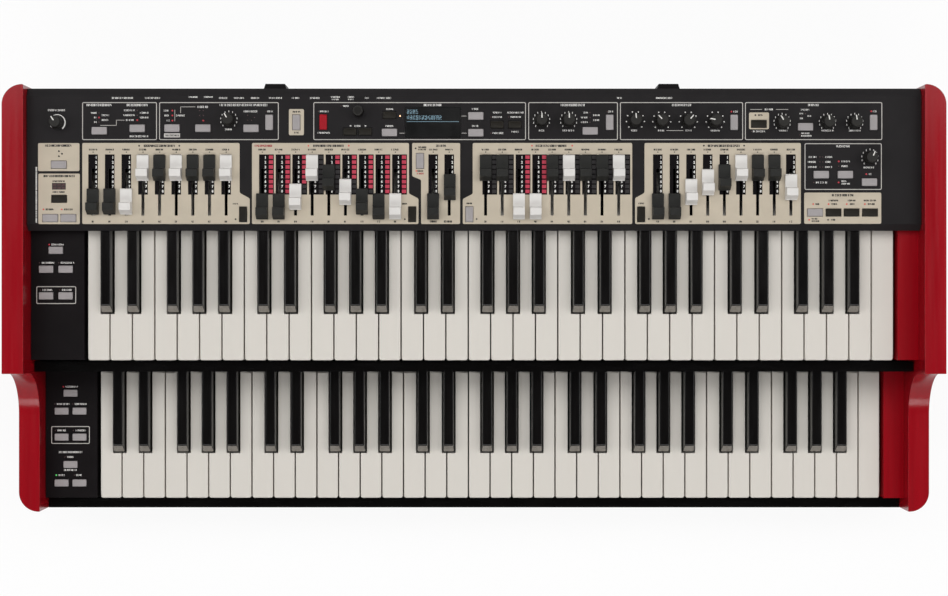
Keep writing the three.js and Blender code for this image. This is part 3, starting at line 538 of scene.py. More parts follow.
def white_key_shape(index, is_last):
    """A white key from its rounded front to its tail, with the notches for its neighbours."""
    inset = KEY_GAP / 2 + KEY_SHRINK
    left, right = index * WHITE_PITCH + inset, (index + 1) * WHITE_PITCH - inset
    half, notch = BLACK_BASE / 2 + NOTCH_GAP, BLACK_FRONT - NOTCH_GAP
    tail_left, tail_right = left, right
    for share in BLACK_CENTRES:
        centre = share * WHITE_PITCH
        if centre - half < right and centre > (left + right) / 2:
            tail_right = min(tail_right, centre - half)
        if centre + half > left and centre < (left + right) / 2:
            tail_left = max(tail_left, centre + half)
    if is_last:
        tail_right = right
    corner, rounding, long_edge = 2.2, 1.9, 0.3
    outline = arc(left + corner, corner, corner, 180, 270, 4)
    outline += arc(right - corner, corner, corner, 270, 360, 4)
    if tail_right < right:
        outline += [(right, notch), (tail_right, notch)]
    outline += [(tail_right, WHITE_TAIL), (tail_left, WHITE_TAIL)]
    if tail_left > left:
        outline += [(tail_left, notch), (left, notch)]
    bm = prism(outline, -WHITE_HEIGHT, 0)
    lap = VISIBLE_LENGTH + PANEL_GAP
    for cut in (lap, lap + WHITE_TAIL_DROP):
        everything = bm.verts[:] + bm.edges[:] + bm.faces[:]
        bmesh.ops.bisect_plane(bm, geom=everything, plane_co=(0, cut, 0), plane_no=(0, 1, 0))
    for v in bm.verts:
        if v.co.z > -CLOSE and v.co.y > lap + CLOSE:
            v.co.z = -WHITE_TAIL_DROP

    def weight(a, b):
        if min(a.z, b.z) < -CLOSE or max(a.y, b.y) > lap + CLOSE:
            return 0.0
        return 1.0 if max(a.y, b.y) < corner + CLOSE else long_edge

    return soften(bm, rounding, weight)


def black_key_shape():
    """A black key: a tapered cap with a sloping front, over the body that reaches its pivot."""
    raised, rounding = VISIBLE_LENGTH + PANEL_GAP + BLACK_LAP, 2.0
    lower = [
        (BLACK_FRONT, 0), (raised, 0), (raised, -BLACK_TAIL_DROP), (BLACK_TAIL, -BLACK_TAIL_DROP),
        (BLACK_TAIL, -BLACK_DEPTH), (BLACK_FRONT, -BLACK_DEPTH),
    ]
    upper = [(BLACK_FRONT + BLACK_NOSE, BLACK_RISE), (raised, BLACK_RISE)]
    hidden, crest_side, crest_end, tall, other = 0.2, 0.45, 0.6, 0.7, 0.3

    def weight(a, b):
        if min(a.y, b.y) > raised - CLOSE or max(a.z, b.z) < -CLOSE:
            return hidden
        if min(a.z, b.z) > BLACK_RISE - CLOSE:
            return crest_side if abs(a.x - b.x) < CLOSE else crest_end
        return tall if abs(a.z - b.z) > BLACK_RISE / 2 else other

    return soften(tapered(lower, upper, BLACK_BASE / 2, BLACK_TOP / 2), rounding, weight, least_angle=20)


def black_front_shape():
    """A thin grey face on the slope of a black key's front: a painted reflection of the white keys in front
    of it.
    """
    low, high, proud = 0.13, 0.9, 0.1
    rows = []
    for out in (-proud, proud):
        half_row = []
        for rise, half in ((low, 4.9), (low + 0.1, 5.6), (high, 4.7)):
            half_row.append((half, BLACK_FRONT + BLACK_NOSE * rise - out, BLACK_RISE * rise + out * 0.7))
        rows.append(half_row + [(-x, y, z) for x, y, z in half_row[::-1]])
    bm = lofted(rows)
    bmesh.ops.recalc_face_normals(bm, faces=bm.faces)
    return as_mesh(bm)


def key_sets():
    last = WHITES_PER_OCTAVE
    white_shapes = [white_key_shape(index, index == last) for index in range(last + 1)]
    black_shape, nose_reflection = black_key_shape(), black_front_shape()
    gap = KEY_GAP / 2
    for manual, whites in WHITES.items():
        for octave in range(OCTAVES):
            keys = Build()
            place = (KEYS_LEFT + octave * WHITES_PER_OCTAVE * WHITE_PITCH, whites.front, whites.top)
            count = WHITES_PER_OCTAVE + (octave == OCTAVES - 1)
            for shape in white_shapes[:count]:
                keys.add(shape, WHITE_KEY, place)
            web = box_shape(gap, count * WHITE_PITCH - gap, WHITE_TAIL - PIVOT_WEB, WHITE_TAIL, *WHITE_WEB)
            keys.add(web, WHITE_KEY, place)
            number = octave + 1
            node, body = f"{manual}_white_keys_{number}", f"{manual}_whites_{number}"
            keys.made(f"{manual}_white_key_set_{number}", body, "white_key", [node])
        keys = Build()
        place = Vector((KEYS_LEFT, whites.front, whites.top))
        for octave in range(OCTAVES):
            for share in BLACK_CENTRES:
                along = Vector(((octave * WHITES_PER_OCTAVE + share) * WHITE_PITCH, 0, 0))
                keys.add(black_shape, BLACK_KEY, place + along)
                # a grey face on each nose slope, as a painted reflection
                keys.add(nose_reflection, BLACK_KEY_PAINTED_REFLECTION, place + along)
        ends = (WHITE_PITCH / 2, (WHITE_COUNT - 0.5) * WHITE_PITCH)
        web = box_shape(*ends, BLACK_TAIL - PIVOT_WEB / 2, BLACK_TAIL + PIVOT_WEB / 2, *BLACK_WEB)
        keys.add(web, BLACK_KEY, place)
        keys.made(f"{manual}_black_key_set", f"{manual}_blacks", "black_key", [f"{manual}_black_keys"])


key_sets()


# Places on the panel, as shares of its width from the middle and of its depth from the front edge
def on_panel(across, deep, up=0.0):
    return Vector((across * INNER_WIDTH, PANEL.front + deep * PANEL_DEPTH, PANEL.top + up))


PRINT_SUNK, PRINT_PROUD = 0.05, 0.1
PLATE_PROUD, PLATE_BOLD = 0.12, 0.11


class Sheet:
    """Turns pixels of the photograph into millimetres on a level face, for what is printed there."""

    def __init__(self, height, bold=0.0):
        self.height, self.bold = height, bold
        self.scale = FOCAL_PIXELS / (CAMERA_HEIGHT - height)

    def spot(self, px, py):
        return (px - PHOTO_WIDTH / 2) / self.scale, (PHOTO_HEIGHT / 2 - py) / self.scale + CAMERA_Y

    def limits(self, px0, px1, py0, py1):
        x0, y1 = self.spot(px0, py0)
        x1, y0 = self.spot(px1, py1)
        return x0, x1, y0, y1

    def layer(self, up=0.0):
        """The lower and the upper height of a print."""
        return self.height + up - PRINT_SUNK, self.height + up + PRINT_PROUD


DECK = Sheet(PANEL.top)
PLATE_TOP = Sheet(PANEL.top + PLATE_PROUD, PLATE_BOLD)


def bar(build, sheet, look, px0, px1, py0, py1, up=0.0):
    """A printed block between four limits in pixels."""
    build.add(box_shape(*sheet.limits(px0, px1, py0, py1), *sheet.layer(up)), look)


# Push buttons
WIDE, SMALL, UPRIGHT, ON_BLOCK = (15.8, 7.8), (13.5, 7.4), (7.8, 15.8), (15, 7.5)
WIDE_PLACES = [
    (-0.4184, 0.7), (-0.376, 0.717), (-0.3372, 0.718), (-0.3027, 0.718), (-0.249, 0.717),
    (-0.0944, 0.688), (0.002, 0.804), (0.002, 0.686), (0.1297, 0.699), (0.3181, 0.748), (0.3701, 0.728),
    (0.3877, 0.392), (0.4146, 0.392), (0.4415, 0.339), (0.3808, 0.126), (0.4015, 0.126), (0.4216, 0.126),
    (0.4422, 0.126), (-0.4636, 0.462), (-0.4632, 0.222), (-0.4732, 0.087), (-0.4529, 0.087),
]
SMALL_PLACES = [(-0.1386, 0.694), (-0.1214, 0.694), (-0.0944, 0.81), (0.0258, 0.743), (0.0456, 0.743)]
UPRIGHT_PLACES = [
    (-0.2287, 0.759), (-0.1984, 0.759), (-0.1684, 0.761), (0.1515, 0.759), (0.2904, 0.759),
    (0.4461, 0.759), (-0.2578, 0.113), (-0.069, 0.114), (-0.0052, 0.114), (0.1866, 0.113),
    (-0.0603, 0.488),
]
PANEL_KINDS = ((WIDE, WIDE_PLACES), (SMALL, SMALL_PLACES), (UPRIGHT, UPRIGHT_PLACES))
DARK_PLACES = WIDE_PLACES[15:18] + [WIDE_PLACES[9], WIDE_PLACES[19]] + SMALL_PLACES
DARK_PLACES += [UPRIGHT_PLACES[6], UPRIGHT_PLACES[7], UPRIGHT_PLACES[9]]
RED_PLACE = UPRIGHT_PLACES[2]
PAD_STRIPS = [
    (-0.4285, 0.4575, 0.64, 0.85), (-0.4835, -0.4425, 0.052, 0.7), (-0.4835, -0.42, 0.64, 0.7),
    (-0.2638, -0.2518, 0.06, 0.7), (-0.0755, -0.0545, 0.06, 0.7), (-0.0112, 0.0008, 0.06, 0.7),
    (0.1806, 0.1926, 0.06, 0.7), (0.3708, 0.4525, 0.08, 0.7),
]
BLOCK_PLACES = {  # shares of the block's width and of its length in sight
    "upper": [(0.464, 0.856), (0.284, 0.708), (0.648, 0.708), (0.284, 0.5), (0.648, 0.5)],
    "lower": [
        (0.481, 0.844), (0.31, 0.699), (0.655, 0.699), (0.31, 0.489), (0.655, 0.489), (0.481, 0.268),
        (0.31, 0.119), (0.655, 0.119),
    ],
}
BUTTON_PROUD, PAD_THICKNESS, PANEL_PAD_DROP, BLOCK_PAD_DROP = 1.3, 2, 5.4, 4.9
BLOCK_WIDTH, BLOCK_SIGHT, BLOCK_MARGIN = 56.2, 134.3, 4.9


def button_shape(size, bottom):
    """A push button with soft edges and a shallow dish in its top."""
    wide, deep = size[0] / 2, size[1] / 2
    corner, edge, dish, rim, slope = 0.9, 0.45, 0.3, 0.8, 0.8
    top, bend = BUTTON_PROUD, edge * 0.3
    profile = [(0, bottom), (0, top - edge), (bend, top - bend), (edge, top), (edge + rim, top)]
    profile.append((edge + rim + slope, top - dish))
    rings = []
    for inset, height in profile:
        across, along = wide - inset, deep - inset
        outline = round_outline(-across, across, -along, along, corner - inset * 0.3)
        rings.append([(x, y, height) for x, y in outline])
    return as_mesh(lofted(rings))


def panel_buttons():
    buttons = Build()
    pad_top = -PANEL_PAD_DROP
    for size, places in PANEL_KINDS:
        shape = button_shape(size, pad_top - PAD_THICKNESS)
        for place in places:
            look = DARK_BUTTON if place in DARK_PLACES else GREY_BUTTON
            if place == RED_PLACE:
                look = RED_BUTTON
            buttons.add(shape, look, on_panel(*place))
    for left, right, near, far in PAD_STRIPS:
        x0, y0, z0 = on_panel(left, near, pad_top - PAD_THICKNESS)
        x1, y1, z1 = on_panel(right, far, pad_top)
        buttons.add(box_shape(x0, x1, y0, y1, z0, z1), GREY_BUTTON)
    buttons.made("panel_button_caps", "panel_pad", "grey_button", ["panel_buttons"])


def block_buttons():
    for manual, places in BLOCK_PLACES.items():
        block = BLOCKS[manual]
        caps = Build()
        shape = button_shape(ON_BLOCK, -BLOCK_PAD_DROP - PAD_THICKNESS)
        for across, deep in places:
            spot = (block.left + across * BLOCK_WIDTH, block.front + deep * BLOCK_SIGHT, block.top)
            caps.add(shape, GREY_BUTTON, spot)
        pad_top = block.top - BLOCK_PAD_DROP
        across = (block.left + BLOCK_MARGIN, block.right - BLOCK_MARGIN)
        along = (block.front + BLOCK_MARGIN, block.rear - BLOCK_MARGIN)
        caps.add(box_shape(*across, *along, pad_top - PAD_THICKNESS, pad_top), GREY_BUTTON)
        node = manual + "_block_buttons"
        caps.made(manual + "_block_button_caps", manual + "_block_pad", "grey_button", [node])


panel_buttons()
block_buttons()

# Knobs: each pointer's turn from straight back, in degrees
KNOB_TURNS = {
    "master_volume": 35, "drive": 30, "rate": 0, "amount": 0, "bass": 5, "mid_frequency": 45,
    "mid_gain": -40, "treble": 80, "delay_mix": 30, "delay_feedback": 10, "delay_time": 10, "reverb": -25,
}
SHAFT = [(3, -3, 0), (3, 1.3, 0)]


def knob_shapes():
    """Shapes of a fluted knob with its pointer line, each with its finish."""
    body = [
        (6.9, 0.3, 0), (7.2, 0.6, 0), (7.2, 1.8, 0), (6.9, 2.2, 1), (6.6, 6, 1), (6.4, 11.9, 1),
        (6.1, 12.7, 0.5), (5.6, 13.0, 0),
    ]
    # the crown is painted a little lighter than the body: painted light on the top
    crown = [(5.2, 12.8, 0), (5.2, 13.1, 0), (4.8, 13.2, 0), (3.6, 13.05, 0)]
    side_line = [(6.3, 8.0), (6.65, 8.0), (6.55, 12.2), (5.9, 13.35), (5.2, 13.35), (5.4, 12.4)]
    half = 0.55
    return [
        (as_mesh(lathe(body, 96, flute=0.55, flutes=24)), KNOB),
        (as_mesh(lathe(crown, 32)), KNOB_TOP_PAINTED_LIGHT),
        (as_mesh(lathe(SHAFT, 24)), KNOB),
        (round_box(-half, half, 1.4, 6.0, 12.5, 13.45, 0.2), POINTER),
        (as_mesh(side_prism(side_line, -half, half)), POINTER),
    ]


def dial_shapes():
    """Shapes of the finely ribbed value dial, each with its finish."""
    body = [(5.5, 0.3, 0), (5.7, 0.7, 1), (5.5, 11.4, 1), (5.2, 12.3, 0.4), (4.7, 12.7, 0)]
    # the crown is painted a little lighter than the body: painted light on the top
    crown = [(4.9, 12.4, 0), (4.9, 12.7, 0), (4.5, 12.8, 0), (3.0, 12.6, 0)]
    ribbed = lathe(body, 120, flute=0.35, flutes=40)
    return [(ribbed, KNOB), (lathe(crown, 32), KNOB_TOP_PAINTED_LIGHT), (lathe(SHAFT, 24), KNOB)]


def knob_cap(node, body, shapes, turn=0):
    cap = Build()
    place = (*Span(node).middle, PANEL.top)
    for shape, look in shapes:
        cap.add(shape, look, place, math.radians(turn))
    cap.made(node.removesuffix("_knob") + "_cap", body, "knob_plastic", [node])


def knobs():
    shapes = knob_shapes()
    for name, turn in KNOB_TURNS.items():
        knob_cap(name + "_knob", name, shapes, turn)
    knob_cap("value_dial", "dial", dial_shapes())


knobs()

# Drawbars: each set's bars as linked, how far each is pulled out, and how deep the link lies
BAR_PITCH, BAR_REST = 0.01857 * INNER_WIDTH, 0.348 * PANEL_DEPTH
BAR_STEP, BAR_STEPS = 5, 8
CAP_WIDTH, CAP_BODY, CAP_LENGTH, CAP_GAP = 12.9, 12.3, 27, 0.45
STEM_WIDTH, STEM_LENGTH, STEM_SETBACK, STEM_RISE = 2, 8, 4.6, 1
YOKE_HEIGHT, YOKE_SPACING, YOKE_DROP, YOKE_MARGIN = 3, 4, 5, 0.5
IS_CAP_BLACK = (True, True, False, False, True, False, True, True, False)
BAR_SETS = {
    "upper_a": {"123": ((7, 7, 7), 0), "456789": ((0,) * 6, 0)},
    "upper_b": {"12789": ((8, 8, 7, 8, 8), 2), "36": ((6, 5), 1), "45": ((0, 2), 0)},
    "pedal_16": {"1": ((8,), 0)},
    "pedal_8": {"2": ((4,), 0)},
    "lower_a": {"1256789": ((0,) * 7, 1), "34": ((8, 8), 0)},
    "lower_b": {"12": ((8, 8), 0), "3459": ((5, 3, 2, 4), 1), "678": ((0, 0, 0), 0)},
}


def bar_cap_shape(is_black):
    """A drawbar cap: a low plate behind a tall crest, with a slope down to its front lip."""
    plate, tail, tail_run, lip = 3.6, 2.6, 1.2, 3.2
    crest, crest_front, crest_rear, foot_front, foot_rear = 11.8, 4.4, 11.9, 0.6, 13.2
    lower = [
        (foot_front, lip), (foot_rear, plate), (CAP_LENGTH - tail_run, plate), (CAP_LENGTH, tail),
        (CAP_LENGTH, CAP_GAP), (0, CAP_GAP), (0, lip),
    ]
    upper = [(crest_front, crest), (crest_rear, crest)]
    crest_half, rounding = 5.9, 1.8 if is_black else 1.3
    foot, crest_end, other = 0.1, 0.6, 0.35

    def weight(a, b):
        if max(a.z, b.z) < CAP_GAP + CLOSE:
            return foot
        if is_black and abs(a.x - b.x) < CLOSE and abs(a.y - b.y) < CLOSE:
            return 1.0
        return crest_end if min(a.z, b.z) > crest - CLOSE and abs(a.x - b.x) > CLOSE else other

    return soften(tapered(lower, upper, CAP_BODY / 2, crest_half), rounding, weight, least_angle=12)


def drawbars():
    shapes = {True: bar_cap_shape(True), False: bar_cap_shape(False)}
    for set_name, groups in BAR_SETS.items():
        is_pedal = set_name.startswith("pedal")
        for bars, (pulled, level) in groups.items():
            node = f"{set_name}_drawbar" if is_pedal else f"{set_name}_drawbars_{bars}"
            first = Span(node).left + CAP_WIDTH / 2
            yoke_top = PANEL.top - YOKE_DROP - level * YOKE_SPACING
            piece = Build()
            centres, stems = [], []
            for digit, steps in zip(bars, pulled):
                x = first + (int(digit) - int(bars[0])) * BAR_PITCH
                front = PANEL.front + BAR_REST - steps * BAR_STEP
                is_black = is_pedal or IS_CAP_BLACK[int(digit) - 1]
                piece.add(shapes[is_black], BLACK_CAP if is_black else WHITE_CAP, (x, front, PANEL.top))
                stem = front + STEM_SETBACK
                half = STEM_WIDTH / 2
                heights = (yoke_top - YOKE_HEIGHT, PANEL.top + STEM_RISE)
                piece.add(box_shape(x - half, x + half, stem, stem + STEM_LENGTH, *heights), STEM)
                centres.append(x)
                stems.append(stem)
            margin = STEM_WIDTH / 2 + YOKE_MARGIN
            across = (min(centres) - margin, max(centres) + margin)
            along = (min(stems), max(stems) + STEM_LENGTH)
            piece.add(box_shape(*across, *along, yoke_top - YOKE_HEIGHT, yoke_top), STEM)
            slot = "black_drawbar_plastic" if is_pedal else "drawbar_plastic"
            body = f"bar_{set_name}" if is_pedal else f"bars_{set_name}_{bars}"
            piece.made(node.replace("drawbar", "bar"), body, slot, [node])


drawbars()

# Cream plates and the dark windows behind the drawbars, with outlines and slots in pixels
PLATES = [
    [(82.3, 143), (239.6, 143), (239.6, 192.8), (249.8, 198.4), (249.8, 224), (82.3, 224)],
    [(252, 143), (409, 143), (409, 193.6), (418.5, 198.6), (418.5, 224), (252, 224)],
    [(412.2, 143), (460.1, 143), (460.1, 224), (421.1, 224), (421.1, 179.8), (412.2, 176.3)],
    [(472.7, 143), (632.2, 143), (632.2, 224), (462.8, 224), (462.8, 198.9), (472.7, 193.9)],
    [(644.5, 143), (800.8, 143), (800.8, 224), (635.1, 224), (635.1, 198.1), (644.5, 192.9)],
]
SMALL_PLATES = [
    (38.1, 79.5, 143.1, 171.1), (38.4, 79.8, 173.6, 224.1), (804.2, 881.2, 192.6, 223.8),
    (288.9, 303.9, 109.1, 135.2), (749, 769, 112.5, 129.2),
]
SLOT_SETS = [  # first slot, pitch, count, whether it has a lamp ladder, settings
    (93.1, 16.63, 9, False, "777000000"), (262.3, 16.63, 9, True, "886025788"), (433.2, 16, 2, False, "84"),
    (485.6, 16.63, 9, True, "008800000"), (657.8, 16.63, 9, False, "885320004"),
]
SLOTS = [
    (first + column * pitch, has_ladder, int(settings[column]))
    for first, pitch, count, has_ladder, settings in SLOT_SETS
    for column in range(count)
]
WINDOW_TOP, WINDOW_BOTTOM = 154.4, 194.6
WINDOW_HALF, LADDER_WINDOW = 4.8, (-3.2, 11.6)  # across, from the slot


def rounded(points, radius=1.6):
    """The outline of a plate in millimetres, anticlockwise, with its corners rounded."""
    spots = [Vector(DECK.spot(*point)) for point in points]
    area = sum(a.x * b.y - b.x * a.y for a, b in zip(spots, spots[1:] + spots[:1]))
    if area < 0:
        spots.reverse()
    outline = []
    for before, at, after in zip(spots[-1:] + spots[:-1], spots, spots[1:] + spots[:1]):
        into, out = (before - at).normalized() * radius, (after - at).normalized() * radius
        for t in (0, 0.25, 0.5, 0.75, 1):
            outline.append(tuple(at + into * (1 - t) ** 2 + out * t * t))
    return outline


def panel_cuts():
    """What is cut out of the plates and windows: a slot for each stem and a hole for each button."""
    slot_gap, hole_gap, reach = 0.55, 0.35, 2
    cuts = Build()
    heights = (PANEL.top - reach, PANEL.top + reach)
    rest = PANEL.front + BAR_REST + STEM_SETBACK
    for slot, _, _ in SLOTS:
        x = DECK.spot(slot, 0)[0]
        half = STEM_WIDTH / 2 + slot_gap
        near, far = rest - BAR_STEPS * BAR_STEP - slot_gap, rest + STEM_LENGTH + slot_gap
        cuts.add(box_shape(x - half, x + half, near, far, *heights), PANEL_PAINT)
    for size, places in PANEL_KINDS:
        for place in places:
            x, y = on_panel(*place).xy
            wide, deep = size[0] / 2 + hole_gap, size[1] / 2 + hole_gap
            cuts.add(box_shape(x - wide, x + wide, y - deep, y + deep, *heights), PANEL_PAINT)
    return cuts.mesh()


def plates_and_windows():
    outlines = PLATES + [[(x0, y0), (x1, y0), (x1, y1), (x0, y1)] for x0, x1, y0, y1 in SMALL_PLATES]
    plates, windows, cuts = Build(), Build(), panel_cuts()
    for points in outlines:
        plates.add(prism(rounded(points), PANEL.top - PRINT_SUNK, PANEL.top + PLATE_PROUD), CREAM)
    for slot, has_ladder, _ in SLOTS:
        left, right = LADDER_WINDOW if has_ladder else (-WINDOW_HALF, WINDOW_HALF)
        bar(windows, PLATE_TOP, WINDOW, slot + left, slot + right, WINDOW_TOP, WINDOW_BOTTOM)
    for name, look, whole in (("cream_plates", CREAM, plates), ("bar_windows", WINDOW, windows)):
        mesh = combined(whole.mesh(), cuts.copy(), "DIFFERENCE")
        Build().add(mesh, look).made(name, "root", "panel_paint")


plates_and_windows()


# Prints: numerals, lamp ladders, rows of small marks, frames, lines and lamps
def glyph(text, size):
    """A numeral as a thin solid, centred on its own origin."""
    narrow, weight, thickness = 0.95, 0.04, 0.07
    curve = bpy.data.curves.new("numeral", "FONT")
    curve.body, curve.size, curve.extrude, curve.offset = text, size, thickness, weight * size
    curve.align_x, curve.align_y, curve.resolution_u = "CENTER", "CENTER", 2
    mesh = evaluated(curve)
    mesh.transform(Matrix.Diagonal((narrow, 1, 1, 1)))
    return mesh


# Abstract marks, each made of parts: left, right, top and bottom ends as shares of its width and height
MARKS = [
    [(0, 0.45, 0, 1)],
    [(0, 0.8, 0, 1)],
    [(0, 1, 0, 0.3), (0, 1, 0.7, 1)],
    [(0, 0.3, 0, 1), (0.7, 1, 0, 1), (0.3, 0.7, 0, 0.26), (0.3, 0.7, 0.74, 1)],
    [(0, 0.55, 0, 0.6), (0.55, 1, 0.4, 1)],
]
LEAST_MARK, MARK_WIDTHS, MARK_GAPS = 0.4, (0.7, 1.1), (0.22, 0.22, 0.3, 0.7)


def words(build, sheet, look, px0, px1, py, tall=1.6):
    """A row of abstract marks, as long and as tall as a label."""
    at, low, bold = px0, py - tall / 2, sheet.bold
    while at < px1 - LEAST_MARK:
        wide = min(RANDOM.uniform(*MARK_WIDTHS), px1 - at)
        for left, right, top, bottom in RANDOM.choice(MARKS):
            across = (at + left * wide - bold, at + right * wide + bold)
            bar(build, sheet, look, *across, low + top * tall - bold, low + bottom * tall + bold)
        at += wide + RANDOM.choice(MARK_GAPS)


def frame_line(build, sheet, look, px0, px1, py0, py1, radius=1.6, wide=0.8):
    x0, x1, y0, y1 = sheet.limits(px0, px1, py0, py1)
    outer = round_outline(x0, x1, y0, y1, radius, 4)
    inner = round_outline(x0 + wide, x1 - wide, y0 + wide, y1 - wide, radius - wide * 0.8, 4)
    low, high = sheet.layer()
    bm = bmesh.new()
    rings = [
        [bm.verts.new((x, y, z)) for x, y in points]
        for points, z in ((outer, low), (outer, high), (inner, high), (inner, low))
    ]
    for first, second in zip(rings, rings[1:] + rings[:1]):
        band(bm, first, second)
    build.add(bm, look)


def lamp_shape(radius):
    rings = [(radius, -0.3, 0), (radius, 0.2, 0), (radius * 0.75, 0.4, 0), (radius * 0.3, 0.5, 0)]
    return as_mesh(lathe(rings, 12))


LAMP, TINY_LAMP = lamp_shape(0.9), lamp_shape(0.6)


def lamps(build, sheet, look, spots, shape=LAMP):
    for px, py in spots:
        build.add(shape, look, (*sheet.spot(px, py), sheet.height))


# Beside each slot: offsets across from it, and distances down the photograph, in pixels
NUMERAL_X, NUMERAL_Y, NUMERAL_PITCH, NUMERAL_SIZE = 3.1, 157.6, 4.82, 3.7
CELL_LEFT, CELL_RIGHT, CELL_TOP, CELL_PITCH, CELL_TALL = 6.6, 10.8, 155.5, 4.87, 3.5
SLOT_WORDS = ((4, 149.6, 1.5), (1.3, 221.6, 1.6))  # half width, middle and height
SLOT_TICK = (-0.5, 0.6, 151.6, 152.6)


def scales(prints):
    """Numerals and lamp ladders beside the drawbars, and the marks at both ends of each slot."""
    numerals = [glyph(str(number), NUMERAL_SIZE) for number in range(1, 9)]
    for slot, has_ladder, setting in SLOTS:
        for step, numeral in enumerate(numerals):
            spot = PLATE_TOP.spot(slot + NUMERAL_X, NUMERAL_Y + NUMERAL_PITCH * step)
            prints.add(numeral, WHITE_PRINT, (*spot, PLATE_TOP.height + PRINT_PROUD))
            if has_ladder:
                look = LADDER_LAMP if step < setting else DARK_CELL
                top = CELL_TOP + CELL_PITCH * step
                limits = (slot + CELL_LEFT, slot + CELL_RIGHT, top, top + CELL_TALL)
                bar(prints, PLATE_TOP, look, *limits, PRINT_PROUD)
        for half, middle, tall in SLOT_WORDS:
            words(prints, PLATE_TOP, DARK_PRINT, slot - half, slot + half, middle, tall)
        left, right, top, bottom = SLOT_TICK
        bar(prints, PLATE_TOP, DARK_PRINT, slot + left, slot + right, top, bottom)


# Frames: left, right, top and bottom ends, in pixels
FRAMES = [
    (82.2, 156.9, 102.2, 140), (159.2, 278.7, 102.2, 140), (313.4, 525.9, 102.2, 140),
    (528.3, 617.8, 102.2, 140), (620, 743, 102.2, 140), (745, 882.2, 102.2, 140),
    (804.6, 881.7, 143.3, 189.8),
]
# Rows of marks: left and right ends, middle, and height where it isn't the usual one, in pixels
WHITE_WORDS = [
    (112, 134, 98, 1.7), (145, 161, 98, 1.7), (189, 198, 97, 1.5), (204, 213, 97, 1.5), (219, 228, 98),
    (234, 244, 98), (251, 260, 98), (269, 282, 98), (292, 300, 98), (310, 320, 98), (331, 340, 97, 1.5),
    (332, 339, 99.4, 1.3), (348, 354, 97, 1.5), (348, 354, 99.4, 1.3), (365, 369, 98), (377, 391, 98),
    (617, 622, 98), (656, 672, 98), (48, 65, 110.2, 1.8), (86.5, 112, 105, 2.2), (126.7, 148.2, 105, 2.2),
    (91, 97.2, 112.9), (94.2, 97.2, 117.5), (94.2, 97.2, 122.1), (101.8, 109, 115.2), (101.8, 109, 120),
    (124, 134.7, 110.3), (123.4, 134.7, 115.2), (126, 134.7, 120.1), (140, 149.2, 112.8),
    (140, 149.2, 117.5), (129.8, 148.2, 136.3, 1.7), (219.7, 267.6, 105, 2.2), (163.8, 169.5, 110.6),
    (164.6, 169.5, 115.5), (166.8, 169.5, 120.6), (176, 185.2, 115.5, 1.7), (197.5, 208.2, 106.9, 2.0),
    (225, 232.4, 129.4), (243.8, 257.6, 111.4, 1.7), (267.5, 273, 111.4, 1.7), (320, 328.8, 111.4),
    (317.8, 330.3, 132.8, 1.7), (343, 349, 106), (354.5, 361, 126, 1.7), (386.2, 393, 109.1, 1.7),
    (385.5, 393.6, 126, 1.7), (423.7, 442, 105, 2.2), (472, 478.9, 109, 1.8), (472, 478.9, 126, 1.8),
    (493, 501.4, 112.6), (492.5, 502.2, 117), (507.2, 523.9, 112.6), (510.5, 520.8, 117),
    (492.5, 503.2, 133.1, 1.7), (511.6, 518.7, 131.7, 1.5), (560.8, 585.1, 105, 2.2),
    (538.9, 544.5, 130.5), (562.6, 574.1, 130.5), (583.6, 587.9, 112.6), (581, 587.9, 117.5),
    (581, 587.9, 122.2), (593.2, 600.1, 115.2), (593.2, 599.4, 120.1), (608.4, 613.1, 111.5, 1.7),
    (672, 691.2, 105, 2.2), (631, 638, 130.5), (658, 664, 130.5), (685.5, 691.6, 130.5),
    (710.8, 719.8, 130.6), (733.5, 738, 111.6, 1.7), (808, 819, 105, 2.0), (764.8, 773.5, 109.4, 1.7),
    (753, 765.2, 131.4), (779, 787.3, 130.6), (800.9, 809.1, 109.7, 1.5), (799.6, 803, 113.6, 1.4),
    (807.6, 811, 116, 1.4), (799.8, 803, 118.4, 1.4), (801.2, 809.5, 133.3, 1.4),
    (801.2, 811.5, 135.8, 1.4), (821.5, 833.6, 130.6), (849, 860.5, 130.6), (873, 876.8, 111.3, 1.7),
    (836.3, 849.5, 146.3, 2.0), (808.7, 816.7, 157), (808, 816.7, 161.9), (808, 816.7, 167),
    (825.3, 833.2, 157), (825.3, 831.3, 161.9), (825.3, 832, 167), (841.5, 849.9, 161.4),
    (841.5, 847.9, 166.2), (863.7, 874, 167.5), (869, 872.2, 174.1), (815.9, 827, 182.5, 1.7),
    (841.5, 846.5, 181.2, 1.4), (841.5, 850, 183.7, 1.4),
]
